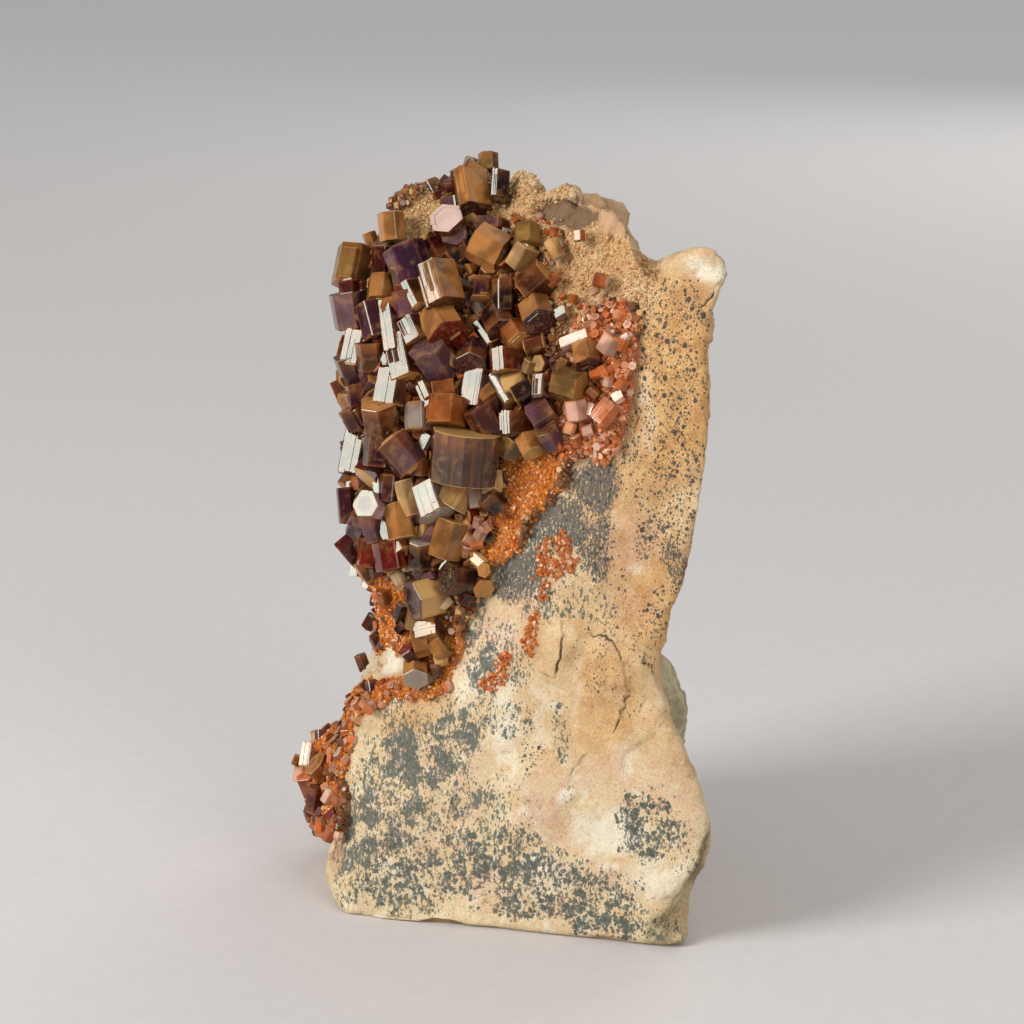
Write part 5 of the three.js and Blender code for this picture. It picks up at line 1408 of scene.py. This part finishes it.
def grow(where, smallest, largest, crowding, most, seed, sides, ends):
    """Grows crystals at random points of the bed, where no neighbour is too close."""
    rng = random.Random(seed)
    spots = np.flatnonzero(on_bed & where).tolist()
    rng.shuffle(spots)
    centres = np.array([c for c, _ in standing])
    widths = np.array([w for _, w in standing])
    grown = 0
    for spot in spots[:MOST_TRIES]:
        if grown == most:
            break
        width = smallest + (largest - smallest) * rng.random() ** 1.5
        normal = Vector(bed_normals[spot])
        centre = Vector(bed_points[spot]) + normal * GROWN_PROUD * width * MM
        room = np.linalg.norm(centres - np.array(centre), axis=1) / MM
        if np.any(room < crowding * (widths + width) / 2):
            continue
        for _ in range(CALM_TRIES):
            tip = [rng.uniform(-AXIS_SCATTER, AXIS_SCATTER) for _ in range(3)]
            axis = normal + Vector(tip)
            place = crystal_place(centre, axis.normalized(), rng.uniform(0, 60))
            if is_calm(place):
                break
        side, end = rng.choice(sides), rng.choice(ends)
        length = width * rng.uniform(0.7, 1.1)
        add_crystal(large, place, width, length, (tone_of(side, rng), tone_of(end, rng)), rng)
        standing.append((centre, width))
        centres = np.vstack((centres, np.array(centre)))
        widths = np.append(widths, width)
        grown += 1
    return grown


hidden = bed_normals @ np.array(TOWARD_EYE) < 0.05
high = bed_points[:, 2] / MM > SLOPE_TOP
between = (up > SLOPE_TOP) & (up < 91) & (across < 4) & ~((across > 0) & (up > 79))
between &= (up < 83) | (across > -10)
lower = (up > 24) & (up < 44) & (bed_orange > 0.5)

# each row is a name, where, the smallest and largest width, crowding, how many, and a seed
for name, where, smallest, largest, crowding, most, seed, sides, ends in (
    ("hidden side", hidden & high & (up < 83) & (across < 2), 3, 4.8, 0.72, 90, 41, COMMON, END_COMMON),
    ("hidden spur", hidden & ~high, 1.2, 2.2, 0.8, 50, 42, COMMON, END_COMMON),
    ("between, medium", between & (fine < 0.05), 1.9, 3, 0.76, 90, 43, COMMON, END_COMMON),
    ("between, small", between & (fine < 0.03) & (across < 0), 1.1, 1.8, 0.72, 150, 44, COMMON, END_COMMON),
    ("spur, small", up < 27, 1.1, 1.8, 0.66, 55, 45, REDS, REDS),
    ("lower slope", lower, 0.8, 1.4, 0.95, 34, 48, REDS + ["caramel", "brown"], REDS + ["tan"]),
    ("red field", bed_red > 0.5, 0.6, 1.3, 0.62, 280, 46, REDS, REDS),
    ("tan ground", (bed_tan > 0.5) & (across > 0), 0.6, 1.1, 1.1, 26, 47, REDS, REDS),
):
    print(name + ":", grow(where, smallest, largest, crowding, most, seed, sides, ends))

# %% [markdown]
# ## The crystals' finish
#
# Vanadinite's faces are mirrors over a deep, dark body. The index of refraction is an ordinary
# one, because the mineral's own, which is far higher, would lay a milky veil over the dark reds.
# The body's tone comes from each face. It is clouded with darker and lighter growth zones and is
# faintly banded along the axis, and its sides carry painted light: an amber glow towards one end
# and along the edges, standing in for light shining through the crystal. The ends are dustier than
# the sides. Striations are bump on the same flat map as the bands, so they follow each face.


# %% Crystal finish
def lengthwise(flat, across, along, detail):
    """Noise drawn out along a crystal's axis, on its flat map."""
    stretched = maths("MULTIPLY", flat, (across, along, 1), kind=VECTOR)
    return speckle(stretched, 1, detail)


def crystal_finish(name, index, gloss, dust, depth):
    finish, tree, shader = new_finish(name)
    tone = attribute(tree, "tone", "Color")
    luck = attribute(tree, "tone", "Alpha")
    end = attribute(tree, "end")
    side = 1 - end
    flat = node("ShaderNodeUVMap", {}, 0, tree, uv_map="flat")
    stripes = lengthwise(flat, 2.2, 0.12, 2)
    bands = lengthwise(flat, 1.3, 0.05, 3)
    place = in_millimetres(tree)
    cloud = speckle(place, 3.4, 2, 0.4)
    other = speckle(place, 1.5, 3)
    dusting = speckle(place, 0.3, 4, 0.7)

    # painted light on the sides, an amber glow at one end and along the edges for light shining through; a
    # plum core on some of the ends
    u = node("ShaderNodeSeparateXYZ", {"Vector": node("ShaderNodeUVMap", {}, 0, tree, uv_map="unit")})
    v = u.also("Y")
    wavy = maths("SQRT", u * u + v * v) + cloud * 0.35
    core = step(wavy, 0.8, 0.55) * (end * step(luck, 0.45, 0.75))
    from_edge = maths("MAXIMUM", maths("ABSOLUTE", u - 0.5), maths("ABSOLUTE", v - 0.5))
    barrel = step(luck, 1.2, 1.5) * side
    # painted light: an amber glow along the edges of the side faces, for light shining through thin edges
    rim = step(from_edge + other * 0.12, 0.47, 0.57) * side * (1 - barrel)
    # painted light: an amber glow towards one end of the sides, for light shining through the crystal
    glow_head = step(v + cloud * 0.5, 0.7, 1.1) * side * step(luck, 0.3, 0.6)

    shade = (side * 0.7 + 0.3) * step(cloud, 0.42, 0.6, 0.66 * depth)
    # the amber glow at one end, painted light
    body = mix(glow_head * (0.5 * depth), tone, "90532a")
    body = mix(shade, body, mix(0.75, body, "18060a"))
    body = mix(step(other, 0.5, 0.66, 0.34 * depth), body, mix(0.42, body, "d29c5c"))
    dusty = end * step(dusting, 0.42, 0.72, dust)
    for share, code in (
        # painted light first, the amber glow along the side edges; then a real plum core, striations, bands
        # and dust
        (rim * (0.3 * depth), "a5571f"), (core * (0.5 * depth), "4c2630"),
        (step(stripes, 0.5, 0.62) * side * (0.08 * depth), "1a0c0a"),
        (step(stripes, 0.44, 0.36) * side * (0.06 * depth), "93602c"),
        (barrel * step(bands, 0.52, 0.62, 0.5), "6c3c18"),
        (barrel * step(bands, 0.48, 0.4, 0.5), "452c34"), (dusty, "c0935c"),
    ):
        body = mix(share, body, code)
    roughness = end * 0.12 + dusty * 0.4 + gloss
    feed(shader, {"Base Color": body, "IOR": index, "Specular Tint": "e6efe0", "Roughness": roughness})
    bumped(shader, dusting * end * 0.02 + stripes * side * 0.012)
    return finish


large_crystals = new_object("large_crystals", large.mesh("large_crystals"))
dress(large_crystals, crystal_finish("vanadinite_faces", 1.5, gloss=0.07, dust=0.22, depth=1))
print(len(large_crystals.data.polygons), "faces on the large crystals")


# %% Bed finish
UNDERSIDE = 0.5 * MM


def bed_finish():
    finish, tree, shader = new_finish("fine_crystal_bed")
    place = in_millimetres(tree)
    grain = speckle(place, 0.5, 4, 0.7)
    cloud = speckle(place, 3, 3)
    brown = mix(step(grain, 0.35, 0.65), "2e1610", "6a3b1e")
    body = mix(step(cloud, 0.5, 0.7, 0.7), brown, mix(grain, "7a5128", "b08450"))
    for zone, low, high in (
        ("orange", "98481a", "d08436"), ("red", "984624", "cc8658"), ("tan", "a0763e", "d2ac74"),
    ):
        body = mix(attribute(tree, zone), body, mix(step(grain, 0.3, 0.7), low, high))
    feed(shader, {"Base Color": body, "Roughness": 0.6})
    bumped(shader, grain * 0.25)
    return finish


wall = bed.modifiers.new("closed underside", "SOLIDIFY")
wall.thickness = UNDERSIDE
wall.offset = -1
bed_surface = bed.data.copy()
settled(bed)
dress(bed, bed_finish(), rounded=True)
print("bed closed:", len(bed.data.polygons), "faces")

# %% [markdown]
# ## Druse, by Geometry Nodes
#
# What is too small to place is scattered by rule. The tree below keeps its points a spacing apart
# over the part of a surface that a painted number allows, stands a small prism on each, tips it,
# sizes it and gives it one of three tones, and then turns the lot into plain mesh. The prisms are
# chamfered, except where they are too small to show it.

# %% Scatter tree
SCATTER_INPUTS = {
    "Where": "String", "Spacing": "Float", "Smallest": "Float", "Largest": "Float",
    "Stoutness": "Float", "Tip": "Float", "Seed": "Int", "Plain": "Bool", "First tone": "Color",
    "Second tone": "Color", "Rare tone": "Color", "Finish": "Material",
}
RARE_FROM = 0.88
MOST_POINTS = 4e7


def scatter_tree():
    tree = bpy.data.node_groups.new("scatter_crystals", "GeometryNodeTree")
    face = tree.interface
    face.new_socket("Geometry", in_out="OUTPUT", socket_type="NodeSocketGeometry")
    for name, kind in {"Surface": "Geometry", **SCATTER_INPUTS}.items():
        face.new_socket(name, in_out="INPUT", socket_type="NodeSocket" + kind)
    given = {socket.name: Wire(socket) for socket in tree.nodes.new("NodeGroupInput").outputs}

    def chance(low, high, seed, kind="FLOAT"):
        first, last, output = {"FLOAT": (2, 3, 1), "FLOAT_VECTOR": (0, 1, 0)}[kind]
        inputs = {first: low, last: high, "Seed": given["Seed"] + seed}
        return node("FunctionNodeRandomValue", inputs, output, data_type=kind)

    # one prism of unit width, with worn end edges
    prism = node("GeometryNodeMeshCylinder",
                 {"Vertices": 6, "Radius": 0.5 * MM, "Depth": given["Stoutness"] * MM}, fill_type="NGON")
    shape = prism
    for side in ("Top", "Bottom"):
        inputs = {"Geometry": shape, "Selection": prism.also(side), "Name": "end", "Value": 1}
        shape = node("GeometryNodeStoreNamedAttribute", inputs, data_type="FLOAT", domain="FACE")
    ends = node("GeometryNodeInputNamedAttribute", {"Name": "end"}, 0, tree, data_type="FLOAT")
    worn = node("GeometryNodeExtrudeMesh",
                {"Mesh": shape, "Selection": ends, "Offset Scale": 0.05 * MM, "Individual": False})
    chamfered = node("GeometryNodeScaleElements",
                     {"Geometry": worn, "Selection": worn.also("Top"), "Scale": 0.88})
    shape = node("GeometryNodeSwitch", {"Switch": given["Plain"], "False": chamfered, "True": shape},
                 input_type="GEOMETRY")

    # points on the allowed part of the surface
    allowed = node("GeometryNodeInputNamedAttribute", {"Name": given["Where"]}, data_type="FLOAT")
    inputs = {"Mesh": given["Surface"], "Density Factor": allowed, "Seed": given["Seed"],
              "Distance Min": given["Spacing"] * MM, "Density Max": MOST_POINTS}
    sown = node("GeometryNodeDistributePointsOnFaces", inputs, distribute_method="POISSON")

    # each point's way up, roll and size
    tilt = node(VECTOR, {0: chance((-1, -1, -1), (1, 1, 1), 1, "FLOAT_VECTOR"), "Scale": given["Tip"]},
                operation="SCALE")
    way = maths("ADD", sown.also("Normal"), tilt, kind=VECTOR)
    upright = node("FunctionNodeAlignRotationToVector", {"Vector": way}, axis="Z")
    roll = node("FunctionNodeAxisAngleToRotation", {"Axis": (0, 0, 1), "Angle": chance(0, 6.3, 2)})
    turned = node("FunctionNodeRotateRotation", {"Rotation": upright, "Rotate By": roll},
                  rotation_space="LOCAL")
    luck = maths("POWER", chance(0, 1, 3), 2)
    size = node("ShaderNodeMapRange",
                {"Value": luck, "To Min": given["Smallest"], "To Max": given["Largest"]})
    grown = node("GeometryNodeInstanceOnPoints",
                 {"Points": sown, "Instance": shape, "Rotation": turned, "Scale": size})

    # tones
    pale = mix(chance(0, 1, 4), given["First tone"], given["Second tone"])
    rare = maths("GREATER_THAN", chance(0, 1, 5), RARE_FROM)
    inputs = {"Geometry": grown, "Name": "tone", "Value": mix(rare, pale, given["Rare tone"])}
    toned = node("GeometryNodeStoreNamedAttribute", inputs, data_type="FLOAT_COLOR", domain="INSTANCE")
    real = node("GeometryNodeRealizeInstances", {"Geometry": toned})
    done = node("GeometryNodeSetMaterial", {"Geometry": real, "Material": given["Finish"]})
    feed(tree.nodes.new("NodeGroupOutput"), {"Geometry": done})
    return tree


SCATTER = scatter_tree()


def scatter(name, surface, where, spacing, sizes, stoutness, tip, seed, tones, finish, plain=True):
    """Scatters small crystals over a surface and gives back the plain mesh object."""
    obj = new_object(name, surface.copy())
    modifier = obj.modifiers.new("scatter", "NODES")
    modifier.node_group = SCATTER
    values = (where, spacing, *sizes, stoutness, tip, seed, plain, *map(colour, tones), finish)
    given = dict(zip(SCATTER_INPUTS, values))
    for item in SCATTER.interface.items_tree:
        if item.name in given:
            modifier[item.identifier] = given[item.name]
    settled(obj)
    print(name, len(obj.data.polygons), "faces")
    return obj


# %% Where each kind of druse grows
UNDER_CRYSTAL = 0.42
BROWN_TONES = ("562a12", "9a6232", "d6ac70")
ORANGE_TONES = ("bc5410", "e8922a", "efbc7c")
RED_TONES = ("d07040", "ecaa74", "f2cbb6")
TAN_TONES = ("be925e", "dfc08e", "b8703f")
PATCH_TONES = ("b0501c", "d08040", "dcb494")

points = points_of(bed_surface)
room = np.full(len(points), 9.0)
for centre, width in standing:
    reach = np.linalg.norm(points - np.array(centre), axis=1) / MM - UNDER_CRYSTAL * width
    room = np.minimum(room, reach)
free = soft(room, -0.2, 0.3)
solid_bed, orange, red, tan = (painted(bed_surface, n) for n in ("solid_bed", "orange", "red", "tan"))
coarse = np.maximum(np.maximum(orange, red), tan)
paint(bed_surface, "brown_druse", free * solid_bed * (1 - coarse))
paint(bed_surface, "orange_druse", solid_bed * orange)
paint(bed_surface, "red_druse", solid_bed * red)
paint(bed_surface, "tan_druse", solid_bed * tan)

dull = crystal_finish("druse_faces", 1.6, gloss=0.16, dust=0.2, depth=0.25)
matte = crystal_finish("sugar_faces", 1.45, gloss=0.42, dust=0.2, depth=0.25)
brown_druse, orange_druse, red_druse, tan_druse = (
    scatter(name, bed_surface, name, spacing, sizes, stoutness, tip, seed, tones, finish, plain)
    for name, spacing, sizes, stoutness, tip, seed, tones, finish, plain in (
        ("brown_druse", 0.5, (0.35, 1.0), 0.9, 0.8, 3, BROWN_TONES, dull, False),
        ("orange_druse", 0.3, (0.2, 0.5), 1.1, 1.0, 4, ORANGE_TONES, dull, True),
        ("red_druse", 0.34, (0.25, 0.7), 0.9, 0.9, 5, RED_TONES, dull, True),
        ("tan_druse", 0.27, (0.2, 0.5), 0.9, 1.2, 7, TAN_TONES, matte, True),
    )
)

# %% [markdown]
# ## Sugar on the stone
#
# Above and to the right of the crust the stone itself is coated with tan, sugary grains, and three
# small patches of druse sit further down on the bare show face. They grow on the stone's own mesh.

# %% Grains and patches on the stone
SUGAR = [
    (6, 82, 9, 6.5, -10, 1), (12.5, 79, 6, 4.4, -35, 1), (-9.5, 87.5, 3.6, 3.4, 45, 1),
    (3, 88.5, 6, 4, 0, 1), (15, 80, 4, 3, -40, 1), (1, 91.5, 4, 2, 0, 0.9),
]
PATCHES = {
    "druse_patch_upper": [(4, 44.2, 1.1, 3, -14, 1), (6.7, 45, 0.9, 2.8, 22, 1), (5.4, 42.9, 1.6, 1.5, 0, 1),
                          (4, 40.2, 0.7, 1.4, 0, 0.8)],
    "druse_patch_middle": [(2.4, 34.2, 0.9, 2.6, -12, 1), (2.9, 36.6, 0.7, 1, 0, 0.8)],
    "druse_patch_lower": [(-1.2, 31, 0.9, 1.7, -25, 1), (-2.4, 28.8, 1.8, 1.3, 35, 1)],
}
PATCH_SEED = 10

surface = stone.data.copy()
points = points_of(surface)
loose = on_sheet(points) + 0.6 * drift(points, 1.4, 51, 52)
in_sight = facing_eye(normals_of(surface), 0.05, 0.3)
bare_stone = 1 - soft(painted(surface, "covered"), 0.2, 0.5)
bare_stone *= 1 - np.maximum(painted(surface, "shaded"), painted(surface, "block"))
paint(surface, "sugar", in_sight * bare_stone * soft(patches(loose, SUGAR), 0.3, 0.6))
for name, ovals in PATCHES.items():
    paint(surface, name, in_sight * soft(patches(loose, ovals), 0.4, 0.6))

sugar = scatter("tan_sugar", surface, "sugar", 0.3, (0.2, 0.5), 0.9, 1.2, 6, TAN_TONES, matte)
patch_pieces = []
for seed, name in enumerate(PATCHES, PATCH_SEED):
    patch = scatter(name + "_druse", surface, name, 0.24, (0.25, 0.65), 1.2, 1.0, seed, PATCH_TONES, dull)
    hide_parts(name)
    patch_pieces.append(patch)

# %% Ride and replace
for piece in (large_crystals, bed, brown_druse, orange_druse, red_druse, tan_druse, sugar, *patch_pieces):
    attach(piece, "root")
    print(piece.name, "rides the root")
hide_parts("vanadinite_crust")

# %% View transform
bpy.context.scene.view_settings.view_transform = "Standard"
